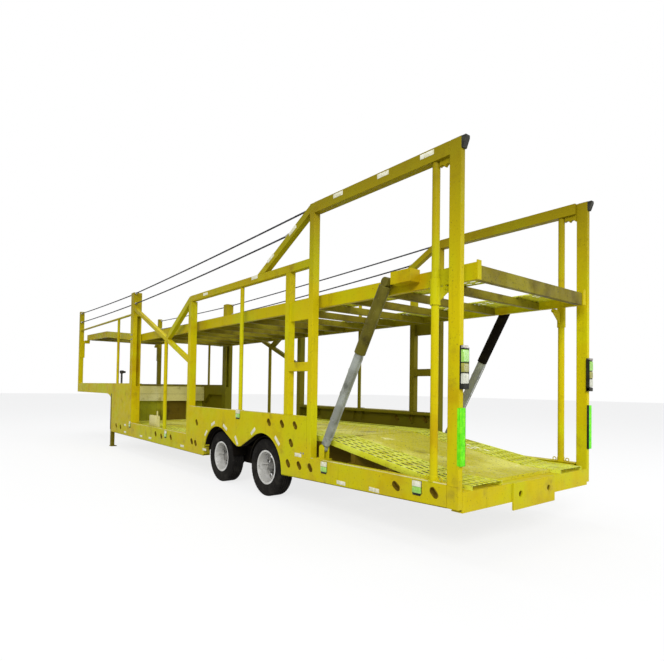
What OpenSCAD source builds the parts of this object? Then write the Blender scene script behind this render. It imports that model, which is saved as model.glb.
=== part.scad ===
// Two-deck car-carrier semi-trailer.
// X runs forward, Y to the left, Z up, and Z = 0 is the ground.
// Lengths named ..._at are measured forward from the rear face of the rear beam.

/* [Overall] */
// Width over the outer faces of the posts
overall_w = 2500; // [2440:10:2600]
// Height of the top rails
overall_h = 3800; // [3700:10:3950]
// Length of the frame, rear beam to front posts
frame_l = 14000; // [13700:10:14300]
// How far the upper deck reaches behind the frame
deck_overhang = 45; // [40:5:120]

/* [Sills and lower deck] */
// Width of a side sill
sill_w = 120; // [90:5:150]
// Height of the sills' top face
sill_top_z = 668; // [650:2:690]
// Height of the sill's underside at the rear end
sill_rear_z = 460; // [420:5:500]
// Height of the sill's underside ahead of and behind the wheels
sill_low_z = 365; // [340:5:400]
// Height of the wheel panels' top
panel_top_z = 1165; // [1150:5:1200]
// Thickness of the wheel panels
panel_t = 10; // [6:1:16]
// Radius of the wheel arches
arch_r = 500; // [480:5:520]
// Height of the lower tracks at the rear
track_rear_z = 660; // [640:5:680]
// Height of the lower tracks over the wheels
track_high_z = 925; // [905:5:945]
// Height of the lower tracks in the well
track_low_z = 625; // [600:5:650]
// Width of one track
track_w = 480; // [440:10:520]
// Distance between the two tracks' inner edges
track_gap = 1140; // [1080:10:1180]
// Depth of a track's folded edge
track_h = 45; // [35:5:60]

/* [Posts] */
// Length of a rear corner post
rear_post_l = 130; // [110:5:150]
// Width of a rear corner post
rear_post_w = 60; // [55:5:75]
// Diameter of the round guide posts
guide_post_d = 75; // [60:1:80]
// Place of the guide posts
guide_post_at = 320; // [290:5:360]
// Side of the square ladder posts
ladder_s = 95; // [80:5:110]
// Place of the rear ladder post
ladder_rear_at = 2227; // [2200:1:2260]
// Place of the front ladder post
ladder_front_at = 2740; // [2700:5:2780]
// Diameter of the slim posts over the wheels and on the neck
slim_post_d = 60; // [50:1:70]
// Place of the slim post over the wheels
wheel_post_at = 4030; // [3950:5:4100]
// Side of the square brace posts
brace_post_s = 118; // [100:2:130]
// Place of the brace posts
brace_post_at = 5840; // [5800:5:5900]
// Diameter of the round posts under the brace crossing
node_post_d = 70; // [60:1:80]
// Place of the posts under the brace crossing
node_post_at = 7060; // [6960:5:7160]
// Side of the square main posts
main_post_s = 185; // [160:5:200]
// Place of the main posts, and of the hinge of both upper decks
main_post_at = 9040; // [8960:5:9120]
// Height of the main posts
main_post_h = 3620; // [3560:5:3680]
// Place of the slim posts on the neck
neck_post_at = 10190; // [10100:5:10280]
// Side of the square front posts
front_post_s = 115; // [100:5:130]
// Height of the front posts
front_post_h = 3710; // [3660:5:3760]

/* [Rails and braces] */
// Height of the rear top rails' section
top_rail_h = 130; // [110:5:140]
// Height of a waist rail's section
waist_h = 105; // [90:5:115]
// Width of the waist rails and diagonals
waist_w = 80; // [70:2:90]
// Height of the waist rails' top face
waist_top_z = 3128; // [3100:2:3150]
// Depth of a diagonal's section
diag_h = 90; // [80:2:100]
// Place where a diagonal's upper edge meets the waist rail
diag_foot_at = 3532; // [3450:2:3600]
// Side of the square long braces
brace_s = 78; // [60:2:90]
// Height where a long brace meets its brace post
brace_low_z = 1970; // [1900:10:2050]
// Height where a long brace meets its main post
brace_high_z = 3240; // [3180:10:3300]
// Diameter of the front guard rails
guard_d = 50; // [40:1:60]
// Drop from the lower of a main post and a front post's reach to the front guard rails
guard_drop = 480; // [450:5:510]
// Diameter of the guard cables
cable_d = 26; // [20:1:30]

/* [Wheels] */
// Diameter of a tyre
tyre_d = 797; // [780:1:810]
// Width of a tyre
tyre_w = 235; // [215:5:245]
// Diameter of a rim at the tyre's beads
rim_d = 444; // [430:1:460]
// Outer face of the tyres, from the middle of the trailer
wheel_face_y = 1170; // [1150:5:1180]
// Place of the rear axle
rear_axle_at = 3360; // [3330:5:3390]
// Distance between the axles
axle_gap = 1360; // [1340:5:1380]
// Diameter of an axle's spindle
spindle_d = 90; // [80:1:100]
// Diameter of an axle tube
axle_d = 127; // [110:1:140]
// Running clearance of shafts, on the radius
running_gap = 0.05; // [0.02:0.01:0.09]

/* [Upper decks] */
// Width over the edge beams of the upper decks
deck_w = 2110; // [2040:10:2120]
// Width of an edge beam
deck_beam_w = 60; // [50:5:70]
// Height of an edge beam
deck_beam_h = 160; // [140:5:180]
// Height of the rear deck's top at rest
deck_top_z = 2690; // [2660:5:2720]
// Height of the front deck's top at its front end
front_deck_top_z = 3010; // [2980:5:3040]
// Diameter of the shaft on which both decks turn
deck_shaft_d = 60; // [50:1:70]
// Height of one upper deck cross member
deck_cross_h = 90; // [70:5:110]
// Least gap between pieces that move past each other
moving_gap = 10; // [6:1:14]

/* [Lift cylinders and guides] */
// Outer diameter of a cylinder's barrel
barrel_d = 105; // [95:1:110]
// Outer diameter of a rod's cover tube
cover_d = 130; // [122:1:134]
// Diameter of a rod
rod_d = 60; // [45:1:65]
// Wall of a barrel
cylinder_wall = 7; // [5:0.5:8]
// Wall of a rod's cover tube
cover_wall = 4.5; // [3:0.5:5]
// Middle of a cylinder, from the middle of the trailer
cylinder_y = 1150; // [1145:5:1160]
// Place of a barrel's foot pin
foot_pin_at = 2040; // [2000:5:2070]
// Height of a barrel's foot pin
foot_pin_z = 800; // [780:5:830]
// Place of a rod's upper eye
eye_at = 1020; // [980:5:1080]
// Height of a rod's upper eye
eye_z = 2650; // [2630:5:2670]
// Length of a barrel from its foot pin
barrel_l = 1370; // [1340:5:1390]
// Diameter of a foot pin
foot_pin_d = 50; // [40:1:56]
// Wall of the guides that slide on the posts
guide_wall = 10; // [6:1:14]
// Length of a guide's sleeve
guide_l = 250; // [200:10:320]

/* [Neck and legs] */
// Height of the neck's top face
neck_top_z = 1560; // [1540:5:1600]
// Height of the neck's underside
neck_low_z = 1300; // [1280:5:1320]
// Front face of the bulkhead under the neck
bulkhead_at = 10450; // [10400:5:10500]
// Height of the curve where the neck meets the bulkhead
neck_curve_h = 240; // [180:10:260]
// Length of the curve where the neck meets the bulkhead
neck_curve_l = 480; // [400:10:560]
// Distance from the kingpin to the front of the frame
kingpin_back = 1100; // [900:10:1300]
// Diameter of the kingpin's neck
kingpin_d = 50.8; // [50.8:0.1:50.8]
// Side of the outer tube of a landing leg
leg_s = 100; // [80:5:115]

/* [Hidden] */

$fn = 48;
paint = "gold";
dark_paint = "olive";
half_w = overall_w / 2;
overall_l = frame_l + deck_overhang;
rear_x = -overall_l / 2 + deck_overhang;
deck_half = deck_w / 2;
sill_in_y = half_w - sill_w;
front_axle_at = rear_axle_at + axle_gap;
neck_to = frame_l - front_post_s;
neck_from = main_post_at + main_post_s / 2;
kingpin_at = frame_l - kingpin_back;
waist_low_z = waist_top_z - waist_h;
hub_z = tyre_d / 2;
arch_shift = -50;
arch_z = 390;
web_z = 641;
hinge_z = deck_top_z - deck_beam_h / 2;
brace_post_face = brace_post_at + brace_post_s / 2;
main_post_face = main_post_at - main_post_s / 2;
brace_slope = (brace_high_z - brace_low_z) / (main_post_face - brace_post_face);
// Half the height that the sloping long brace takes up in a plumb line.
brace_half = brace_s / 2 / cos(atan(brace_slope));
brace_y = half_w - 50;
front_post_reach = 90;
guard_rail_z = min(main_post_h, front_post_h + front_post_reach) - guard_drop;
guide_gap = 1;
lap = 2;
guide_post_y = half_w - guide_post_d / 2 - guide_wall - guide_gap;
track_in_y = track_gap / 2;
track_out_y = track_in_y + track_w;

function xr(d) = rear_x + d;

// A box given by its two corners, the x values measured from the rear face.
module block(x0, x1, y0, y1, z0, z1)
    translate([xr(x0), y0, z0]) cube([x1 - x0, y1 - y0, z1 - z0]);

// The same piece on both sides of the trailer.
module both() {
    children();
    mirror([0, 1, 0]) children();
}

// An outline of [place, height] points, given thickness across the trailer.
module side_plate(y0, y1)
    translate([rear_x, y1, 0]) rotate([90, 0, 0]) linear_extrude(y1 - y0) children();

// A round bar between two [place, height] points in the plane at y.
module rod_xz(p, q, y, d)
    translate([xr(p[0]), y, p[1]])
        rotate([0, atan2(q[0] - p[0], q[1] - p[1]), 0])
            cylinder(h = norm(q - p), d = d);

// A square bar between two [place, height] points, centred on the plane at y.
module bar_xz(p, q, y, s)
    translate([xr(p[0]), y, p[1]])
        rotate([0, -atan2(q[1] - p[1], q[0] - p[0]), 0])
            translate([0, -s / 2, -s / 2]) cube([norm(q - p), s, s]);

// ---- posts -------------------------------------------------------------

module corner_posts() color(paint) both() {
    block(0, rear_post_l, half_w - rear_post_w, half_w, sill_rear_z, overall_h);
    block(neck_to, frame_l, half_w - front_post_s, half_w, neck_low_z, front_post_h);
}

rung_z = 1730;
rung_h = 112;
tie_plate_z = 2375;
tie_plate_h = 255;
tie_plate_t = 14;
tie_plate_in = 40;
module ladder_frames() color(paint) both() {
    r = ladder_s / 2;
    block(ladder_rear_at - r, ladder_rear_at + r, half_w - ladder_s, half_w, sill_top_z, overall_h);
    block(ladder_front_at - r, ladder_front_at + r, half_w - ladder_s, half_w,
          panel_top_z, waist_low_z);
    block(ladder_rear_at + r, ladder_front_at - r, half_w - ladder_s, half_w, rung_z, rung_z + rung_h);
    block(ladder_rear_at + r, ladder_front_at - r, half_w - tie_plate_in, half_w - tie_plate_in + tie_plate_t,
          tie_plate_z, tie_plate_z + tie_plate_h);
}

// columns: place, distance from the middle, diameter, foot height, head height
round_posts_table = [
    [guide_post_at, guide_post_y, guide_post_d, sill_top_z, overall_h - top_rail_h],
    [wheel_post_at, brace_y, slim_post_d, panel_top_z, waist_low_z],
    [node_post_at, brace_y, node_post_d, sill_top_z, brace_z(node_post_at)],
    [neck_post_at, brace_y, slim_post_d, neck_top_z, guard_rail_z]
];
// The round posts, and the round guard rails over the neck.
module round_posts() color(paint) {
    difference() {
        both() for (p = round_posts_table)
            translate([xr(p[0]), p[1], p[3]]) cylinder(h = p[4] - p[3], d = p[2]);
        long_brace_bars();
    }
    both() rod_xz([neck_from, guard_rail_z], [neck_to, guard_rail_z], brace_y, guard_d);
}

// A brace post's head follows the underside of its waist rail into the elbow.
module brace_post_blocks() both()
    side_plate(half_w - brace_post_s, half_w)
        polygon(concat([[brace_post_face, sill_top_z],
                        [brace_post_face, elbow_under(brace_post_face)]],
                       [for (i = [elbow_steps : -1 : 0]) elbow_point(elbow_in_r, i * elbow_a / elbow_steps)],
                       [[brace_post_at - brace_post_s / 2, waist_low_z],
                        [brace_post_at - brace_post_s / 2, sill_top_z]]));

slot_w = 70;
slot_depth = 95;
slot_wall = 25;
slot_low_z = 1500;
slot_high_z = 3080;
module main_post_blocks() both()
    block(main_post_at - main_post_s / 2, main_post_at + main_post_s / 2,
          half_w - main_post_s, half_w, sill_top_z, main_post_h);
module middle_posts() color(paint) {
    brace_post_blocks();
    difference() {
        main_post_blocks();
        both() block(main_post_at - main_post_s / 2 - 1, main_post_at - main_post_s / 2 + slot_depth,
                     half_w - main_post_s + slot_wall, half_w - main_post_s + slot_wall + slot_w,
                     slot_low_z, slot_high_z);
    }
}

// ---- rails and braces ------------------------------------------------------

ladder_face_at = ladder_rear_at + ladder_s / 2;
diag_slope = (overall_h - waist_top_z) / (diag_foot_at - ladder_face_at);
// Height that a diagonal takes up in a plumb line.
diag_plumb = diag_h / cos(atan(diag_slope));
// Height of a diagonal's upper edge at a place.
function diag_z(at) = overall_h - (at - ladder_face_at) * diag_slope;
module diagonals() both()
    side_plate(brace_y - waist_w / 2, brace_y + waist_w / 2)
        polygon([[ladder_face_at, overall_h], [diag_foot_at, waist_top_z],
                 [diag_foot_at - diag_plumb / diag_slope, waist_top_z],
                 [ladder_face_at, overall_h - diag_plumb]]);

top_rail_w = 100;
gusset_y = [70, 30];
gusset_l = 140;
gusset_h = 75;
// columns: place ahead of the corner post, drop under the rail, radius of a scallop
gusset_scallops = [[45, 85, 30], [115, 85, 34]];
module top_rails() color(paint) {
    both() {
        block(rear_post_l, ladder_rear_at - ladder_s / 2, half_w - top_rail_w, half_w,
              overall_h - top_rail_h, overall_h);
        side_plate(half_w - gusset_y[0], half_w - gusset_y[1]) difference() {
            translate([rear_post_l, overall_h - top_rail_h - gusset_h]) square([gusset_l, gusset_h + lap]);
            for (c = gusset_scallops)
                translate([rear_post_l + c[0], overall_h - top_rail_h - c[1]]) circle(r = c[2]);
        }
    }
    diagonals();
}

elbow_r = 170;
elbow_at = brace_post_at - 20;
elbow_a = 30;
waist_mid_z = waist_top_z - waist_h / 2;
elbow_steps = 6;
elbow_in_r = elbow_r - waist_h / 2;
function elbow_point(r, a) = [elbow_at + r * sin(a), waist_mid_z - elbow_r + r * cos(a)];
// Where an edge of the drop behind the elbow meets the long brace's upper face.
function drop_end(p) = let (t = (p[1] - brace_z(p[0]) - brace_half) / (tan(elbow_a) + brace_slope))
    p + t * [1, -tan(elbow_a)];
// Height of the drop's underside at a place behind the elbow's arc.
function elbow_under(at) = let (p = elbow_point(elbow_in_r, elbow_a)) p[1] - (at - p[0]) * tan(elbow_a);
// One edge of a waist rail's outline round its elbow and down the drop behind it.
function elbow_edge(r) = concat([for (i = [0 : elbow_steps]) elbow_point(r, i * elbow_a / elbow_steps)],
                                [drop_end(elbow_point(r, elbow_a))]);
function reversed(line) = [for (i = [len(line) - 1 : -1 : 0]) line[i]];
module waist_rails() color(paint) both()
    side_plate(brace_y - waist_w / 2, brace_y + waist_w / 2)
        polygon(concat([[ladder_face_at, waist_top_z]], elbow_edge(elbow_r + waist_h / 2),
                       reversed(elbow_edge(elbow_in_r)), [[ladder_face_at, waist_low_z]]));

function brace_z(at) = brace_low_z + (at - brace_post_face) * brace_slope;

brace_sink = 80;
module long_brace_bars() both()
    bar_xz([brace_post_face - brace_sink, brace_z(brace_post_face - brace_sink)],
           [main_post_face + brace_sink, brace_z(main_post_face + brace_sink)], brace_y, brace_s);
module long_braces() color(paint) difference() {
    long_brace_bars();
    brace_post_blocks();
    main_post_blocks();
}

cable_y = brace_y + 12;
low_cable_at = 2720;
// Drops of the upper and lower cables' ends below the head of the post that holds them.
cable_main_drop = [25, 260];
cable_front_drop = [55, 325];
cable_rail_drop = 45;
cable_diag_drop = 15;
// columns: rear place, rear height, front place, front height
cable_table = [
    [ladder_face_at + 10, overall_h - cable_rail_drop, main_post_face, main_post_h - cable_main_drop[0]],
    [low_cable_at, diag_z(low_cable_at) - cable_diag_drop, main_post_face,
     main_post_h - cable_main_drop[1]],
    [neck_from, main_post_h - cable_main_drop[0], neck_to, front_post_h - cable_front_drop[0]],
    [neck_from, main_post_h - cable_main_drop[1], neck_to, front_post_h - cable_front_drop[1]]
];
module guard_cables() color("dimgray") difference() {
    both() for (c = cable_table) rod_xz([c[0], c[1]], [c[2], c[3]], cable_y, cable_d);
    diagonals();
    main_post_blocks();
    corner_posts();
}

// ---- sills, panels and lower deck -----------------------------------------

// The panel comes down between the wheels to a blunt tip, half as wide as tip_half_w. A straight flank
// runs from each side of the tip and meets the arch as a tangent.
tip_half_w = 80;
tip_rise = 14;
arch_mid_at = (rear_axle_at + front_axle_at) / 2 + arch_shift;
tip_from_arch = [axle_gap / 2 - tip_half_w, web_z + tip_rise - arch_z];
flank_a = atan2(tip_from_arch[1], tip_from_arch[0]) + acos(arch_r / norm(tip_from_arch));
flank_in = axle_gap / 2 - arch_r * cos(flank_a);
flank_z = arch_z + arch_r * sin(flank_a);
module arch_cuts(y0, y1)
    translate([0, y1, 0]) rotate([90, 0, 0]) linear_extrude(y1 - y0) {
        for (a = [rear_axle_at, front_axle_at])
            translate([xr(a + arch_shift), arch_z]) circle(r = arch_r, $fn = 96);
        translate([xr(arch_mid_at), 0])
            polygon([[-flank_in, 0], [-flank_in, flank_z], [-tip_half_w, web_z + tip_rise],
                     [-tip_half_w / 2, web_z + tip_rise / 7], [0, web_z], [tip_half_w / 2, web_z + tip_rise / 7],
                     [tip_half_w, web_z + tip_rise], [flank_in, flank_z], [flank_in, 0]]);
        for (a = [rear_axle_at, front_axle_at])
            translate([xr(a + arch_shift) - arch_r, 0]) square([2 * arch_r, arch_z]);
    }

// columns: place, height, lean of the tie-down slots
sill_slots = [[272, 575, 45], [752, 562, 55], [2186, 555, 40], [2416, 552, 40], [2660, 548, 40],
              [5484, 545, 40], [5642, 560, 40], [6592, 550, 40], [7076, 530, 40], [7389, 550, 40],
              [9694, 530, 40], [10033, 545, 40]];
sill_slot_depth = 30;
slot_hole_w = 58;
slot_hole_l = 108;
// An upright oblong slot leaning by a at [place, height], cut to a depth into the outer side.
module slot_cut(at, z, a, depth)
    translate([xr(at), half_w + 1, z]) rotate([0, a, 0]) rotate([90, 0, 0]) linear_extrude(depth + 1) {
        square([slot_hole_w, slot_hole_l - slot_hole_w], center = true);
        for (e = [-1, 1]) translate([0, e * (slot_hole_l - slot_hole_w) / 2]) circle(d = slot_hole_w);
    }

module sills() color(paint) both() difference() {
    side_plate(sill_in_y, half_w)
        polygon([[rear_post_l, sill_rear_z], [rear_axle_at, sill_low_z], [bulkhead_at, sill_low_z],
                 [bulkhead_at, sill_top_z], [rear_post_l, sill_top_z]]);
    arch_cuts(sill_in_y - 1, half_w + 1);
    block(rear_axle_at, front_axle_at, sill_in_y - 1, half_w + 1, 0, panel_top_z);
    for (c = sill_slots) slot_cut(c[0], c[1], c[2], sill_slot_depth);
}

// columns: place, height, lean of the tie-down slots in the panel
panel_slots = [[2518, 1045, 40], [2815, 1045, 40], [3135, 1045, 40], [2600, 815, 35], [5450, 900, 35]];
ledge_t = 12;
panel_from = ladder_rear_at + ladder_s / 2;
panel_to = brace_post_at - brace_post_s / 2;
module wheel_panels() color(paint) both() {
    difference() {
        block(panel_from, panel_to, half_w - panel_t, half_w, sill_top_z, panel_top_z);
        arch_cuts(half_w - panel_t - 1, half_w + 1);
        for (c = panel_slots) slot_cut(c[0], c[1], c[2], panel_t + 1);
    }
    block(panel_from, panel_to, sill_in_y, half_w - panel_t, panel_top_z - ledge_t, panel_top_z);
}

rear_beam_l = 120;
rear_beam_low_z = 430;
rear_beam_t = 12;
rear_beam_high_z = track_rear_z - track_h;
rear_beam_half = half_w - rear_post_w;
tow_plate_t = 20;
tow_plate_half = 400;
tow_plate_low_z = 350;
tow_hole_y = 273;
tow_hole_z = 500;
tow_hole_d = 64;
// Clear way left in the rear beam's web behind a tow hole, beyond the hole's edge.
tow_window_gap = 23;
module rear_beam() color(paint) {
    r = tow_hole_d / 2 + tow_window_gap;
    for (z = [rear_beam_low_z, rear_beam_high_z - rear_beam_t])
        block(0, rear_beam_l, -rear_beam_half, rear_beam_half, z, z + rear_beam_t);
    block(0, rear_beam_t, -tow_hole_y + r, tow_hole_y - r, rear_beam_low_z + rear_beam_t,
          rear_beam_high_z - rear_beam_t);
    both() block(0, rear_beam_t, tow_hole_y + r, rear_beam_half, rear_beam_low_z + rear_beam_t,
                 rear_beam_high_z - rear_beam_t);
}
module tow_plate() color(paint) difference() {
    block(-tow_plate_t, 0, -tow_plate_half, tow_plate_half, tow_plate_low_z, rear_beam_high_z);
    for (s = [-1, 1]) translate([xr(-tow_plate_t - 1), s * tow_hole_y, tow_hole_z])
        rotate([0, 90, 0]) cylinder(h = tow_plate_t + 2, d = tow_hole_d);
}

// The lower tracks' top line as [place, height] points.
ramp_foot_at = 450;
crest_rear_at = 2200;
crest_front_at = 5300;
well_from = 5900;
track_end_at = bulkhead_at - 14;
track_line = [[0, track_rear_z], [ramp_foot_at, track_rear_z], [crest_rear_at, track_high_z],
              [crest_front_at, track_high_z], [well_from, track_low_z], [track_end_at, track_low_z]];
function lowered(line, d) = [for (i = [len(line) - 1 : -1 : 0]) [line[i][0], line[i][1] - d]];
module lower_tracks() color(paint) both()
    side_plate(track_in_y, track_out_y) polygon(concat(track_line, lowered(track_line, track_h)));

// Height of the lower tracks' underside at a place.
function track_under(at) = lookup(at, track_line) - track_h;

centre_t = 35;
// The floor between the tracks lies so that its underside is level with theirs.
centre_drop = track_h - centre_t;
centre_line = concat([[rear_beam_l, track_rear_z - centre_drop]],
                     [for (i = [1 : len(track_line) - 1]) [track_line[i][0], track_line[i][1] - centre_drop]]);
module centre_floor() color(paint)
    side_plate(-track_in_y, track_in_y) polygon(concat(centre_line, lowered(centre_line, centre_t)));

// columns: place, foot height
crest_cross_rear_at = 2250;
crest_cross_front_at = 5225;
cross_table = [[420, 480], [1000, 470], [1600, 450], [crest_cross_rear_at, 420],
               [crest_cross_front_at, 560], [5960, 400], [6700, 400], [7500, 400], [8300, 400],
               [9050, 400], [9800, 400], [10280, 400]];
cross_l = 70;
// A cross member reaches the sills' tops, and its middle carries the deck where that is higher.
module cross_members() color(dark_paint) for (c = cross_table) {
    high = min(track_under(c[0]), track_under(c[0] + cross_l));
    block(c[0], c[0] + cross_l, -sill_in_y, sill_in_y, c[1], min(sill_top_z, high));
    if (high > sill_top_z)
        block(c[0], c[0] + cross_l, -track_out_y, track_out_y, sill_top_z - lap, high);
}

// ---- neck, bulkhead, coupler, legs -----------------------------------------

stile_l = 100;
neck_ramp_l = 300;
neck_curve_low_z = neck_low_z - neck_curve_h;
neck_curve_steps = 10;
function neck_curve_point(a) = [bulkhead_at + neck_curve_l * (1 - cos(a)),
                                neck_curve_low_z + neck_curve_h * sin(a)];
module neck_sides() color(paint) both() {
    difference() {
        side_plate(sill_in_y, half_w)
            polygon(concat([[neck_from, neck_low_z], [bulkhead_at - stile_l - neck_ramp_l, neck_low_z],
                            [bulkhead_at - stile_l, neck_curve_low_z]],
                           [for (i = [0 : neck_curve_steps]) neck_curve_point(90 * i / neck_curve_steps)],
                           [[neck_to, neck_low_z], [neck_to, neck_top_z], [neck_from, neck_top_z]]));
        leg_tube();
    }
    block(neck_from, bulkhead_at, half_w - panel_t, half_w, sill_top_z, neck_low_z);
    block(bulkhead_at - stile_l, bulkhead_at, sill_in_y, half_w - panel_t, sill_top_z, neck_curve_low_z);
}

bulkhead_t = 14;
recess_half = 420;
recess_depth = 6;
recess_z = [760, 1060];
box_l = 150;
box_low_z = 1120;
module bulkhead() color(paint) {
    difference() {
        block(bulkhead_at - bulkhead_t, bulkhead_at, -sill_in_y, sill_in_y, sill_low_z, neck_low_z);
        block(bulkhead_at - bulkhead_t - 1, bulkhead_at - bulkhead_t + recess_depth, -recess_half,
              recess_half, recess_z[0], recess_z[1]);
    }
    block(bulkhead_at - box_l, bulkhead_at - bulkhead_t, -sill_in_y, sill_in_y, box_low_z, neck_low_z);
}

neck_cross_n = 4;
neck_cross_from = bulkhead_at + 350;
neck_cross_to = frame_l - 650;
neck_cross_l = 80;
neck_front_l = 125;
neck_floor_low_z = neck_top_z - track_h;
module neck_floor() color(paint) {
    for (i = [0 : neck_cross_n - 1]) {
        a = neck_cross_from + i * (neck_cross_to - neck_cross_from) / (neck_cross_n - 1);
        block(a, a + neck_cross_l, -sill_in_y, sill_in_y, neck_low_z, neck_floor_low_z);
    }
    block(neck_to - neck_front_l, neck_to, -sill_in_y, sill_in_y, neck_low_z, neck_floor_low_z);
    block(bulkhead_at - box_l, bulkhead_at, -sill_in_y, sill_in_y, neck_low_z, neck_floor_low_z);
    both() block(bulkhead_at - box_l, neck_to, track_in_y, track_out_y, neck_floor_low_z, neck_top_z);
}

plate_t = 12;
plate_half = 560;
plate_half_l = 560;
kingpin_shoulder_d = 73;
kingpin_flange_d = 71.4;
// Lengths of the kingpin's shoulder, neck and flange, downwards.
kingpin_steps = [30, 36, 18];
kingpin_ds = [kingpin_shoulder_d, kingpin_d, kingpin_flange_d];
kingpin_drops = [30, 66, 84];
module coupler() color("slategray") {
    block(kingpin_at - plate_half_l, kingpin_at + plate_half_l, -plate_half, plate_half,
          neck_low_z - plate_t, neck_low_z);
    for (i = [0 : 2]) translate([xr(kingpin_at), 0, neck_low_z - plate_t - kingpin_drops[i]])
        cylinder(h = kingpin_steps[i], d = kingpin_ds[i]);
}

foot_t = 16;
leg_inner = 16;
leg_low_z = 420;
foot_reach = 30;
foot_in = 40;
module leg_tube()
    block(bulkhead_at, bulkhead_at + leg_s, half_w - leg_s, half_w, leg_low_z, neck_low_z);
module landing_legs() color(dark_paint) both() {
    leg_tube();
    block(bulkhead_at + leg_inner / 2, bulkhead_at + leg_s - leg_inner / 2, half_w - leg_s + leg_inner / 2,
          half_w - leg_inner / 2, foot_t, leg_low_z);
    block(bulkhead_at - foot_reach, bulkhead_at + leg_s + foot_reach, half_w - leg_s - foot_in, half_w,
          0, foot_t);
}

// ---- axles and wheels --------------------------------------------------------

hub_l = 230;
wheel_mid_y = wheel_face_y - tyre_w / 2;
// How far a hub's middle lies inward of its tyre's middle.
hub_in = 85;
hub_mid_y = wheel_mid_y - hub_in;
spindle_out = 20;
axle_back = 15;
spindle_end_y = hub_mid_y + hub_l / 2 + spindle_out;
axle_end_y = hub_mid_y - hub_l / 2 - axle_back;
module axle_beams() color("dimgray") for (a = [rear_axle_at, front_axle_at])
    translate([xr(a), 0, hub_z]) rotate([90, 0, 0]) {
        cylinder(h = 2 * spindle_end_y, d = spindle_d, center = true);
        cylinder(h = 2 * axle_end_y, d = axle_d, center = true);
    }

tyre_shoulder = 34;
bead_w = 178;
tyre_r = tyre_d / 2;
rim_r = rim_d / 2;
flange_h = 16;
// One side of a tyre's outline as [distance from the axle, distance from the tyre's middle].
tyre_side = [[rim_r, bead_w / 2], [rim_r + flange_h, bead_w / 2], [rim_r + 40, tyre_w / 2 - 8],
             [(rim_r + tyre_r) / 2, tyre_w / 2], [tyre_r - 45, tyre_w / 2 - 6],
             [tyre_r - 10, tyre_w / 2 - 20], [tyre_r, tyre_w / 2 - tyre_shoulder]];
function turned_over(line) = [for (p = line) [p[0], -p[1]]];
module tyre_section() polygon(concat(turned_over(tyre_side), reversed(tyre_side)));
module tyre(axle_at, side)
    translate([xr(axle_at), side * wheel_mid_y, hub_z]) rotate([90, 0, 0])
        rotate_extrude($fn = 96) tyre_section();

flange_t = 6;
rim_t = 9;
rim_w = bead_w + 2 * flange_t;
disc_t = 14;
hub_r = 110;
// How far a disc lies inward of its tyre's middle.
disc_in = 60;
disc_r = rim_r - 1.5 * rim_t;
well_half = 26;
rim_side = [[rim_r - 2 * rim_t, well_half], [rim_r, bead_w / 2 - rim_t], [rim_r, bead_w / 2],
            [rim_r + flange_h, bead_w / 2], [rim_r + flange_h, rim_w / 2], [rim_r - rim_t, rim_w / 2],
            [rim_r - 3 * rim_t, well_half - 6]];
module rim_section() polygon(concat(turned_over(rim_side), reversed(rim_side)));
module rim(axle_at, side)
    translate([xr(axle_at), 0, hub_z]) rotate([90, 0, 0]) difference() {
        union() {
            translate([0, 0, -side * wheel_mid_y]) rotate_extrude($fn = 96) rim_section();
            translate([0, 0, -side * (wheel_mid_y - disc_in)])
                cylinder(h = disc_t, r = disc_r, center = true);
            translate([0, 0, -side * hub_mid_y]) cylinder(h = hub_l, r = hub_r, center = true);
        }
        translate([0, 0, -side * hub_mid_y])
            cylinder(h = 2 * hub_l, r = spindle_d / 2 + running_gap, center = true);
    }

module tyres_rear_left() color("#202020") tyre(rear_axle_at, 1);
module tyres_rear_right() color("#202020") tyre(rear_axle_at, -1);
module tyres_front_left() color("#202020") tyre(front_axle_at, 1);
module tyres_front_right() color("#202020") tyre(front_axle_at, -1);
module rims_rear_left() color("silver") rim(rear_axle_at, 1);
module rims_rear_right() color("silver") rim(rear_axle_at, -1);
module rims_front_left() color("silver") rim(front_axle_at, 1);
module rims_front_right() color("silver") rim(front_axle_at, -1);

spring_y = 470;
spring_w = 76;
spring_h = 60;
hanger_l = 90;
chassis_h = 80;
chassis_low_z = track_high_z - track_h - chassis_h;
chassis_w = 120;
// Places of the spring hangers, measured from the rear axle.
hanger_table = [-axle_gap / 2, axle_gap / 2, 3 * axle_gap / 2];
module suspension() color("dimgray") both() {
    spring_z = hub_z + axle_d / 2;
    for (h = hanger_table) block(rear_axle_at + h - hanger_l / 2, rear_axle_at + h + hanger_l / 2,
                                 spring_y - spring_w / 2, spring_y + spring_w / 2, spring_z,
                                 min(chassis_low_z + chassis_h / 4,
                                     lookup(rear_axle_at + h + hanger_l / 2, centre_line) - centre_t));
    for (a = [rear_axle_at, front_axle_at])
        block(a - axle_gap / 2 + hanger_l / 2, a + axle_gap / 2 - hanger_l / 2, spring_y - spring_w / 2,
              spring_y + spring_w / 2, spring_z, spring_z + spring_h);
    block(crest_cross_rear_at + cross_l, crest_cross_front_at, spring_y - chassis_w / 2,
          spring_y + chassis_w / 2, chassis_low_z, chassis_low_z + chassis_h);
}

// ---- lamps ---------------------------------------------------------------

// columns: reach behind the post, width from the post's outer face, foot height, head height
lamp_table = [[45, 87, 1530, 1920], [25, rear_post_w, 850, 1365]];
module lamps() color("yellowgreen") both() for (l = lamp_table)
    block(-l[0], 0, half_w - l[1], half_w, l[2], l[3]);

// ---- upper decks -------------------------------------------------------------

lug_t = 22;
lug_gap = 8;
lug_reach = 130;
lug_r = 70;
beam_in_y = deck_half - deck_beam_w;
module deck_shaft() color("slategray")
    translate([xr(main_post_at), 0, hinge_z]) rotate([90, 0, 0])
        cylinder(h = 2 * (half_w - main_post_s), d = deck_shaft_d, center = true);

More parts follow.
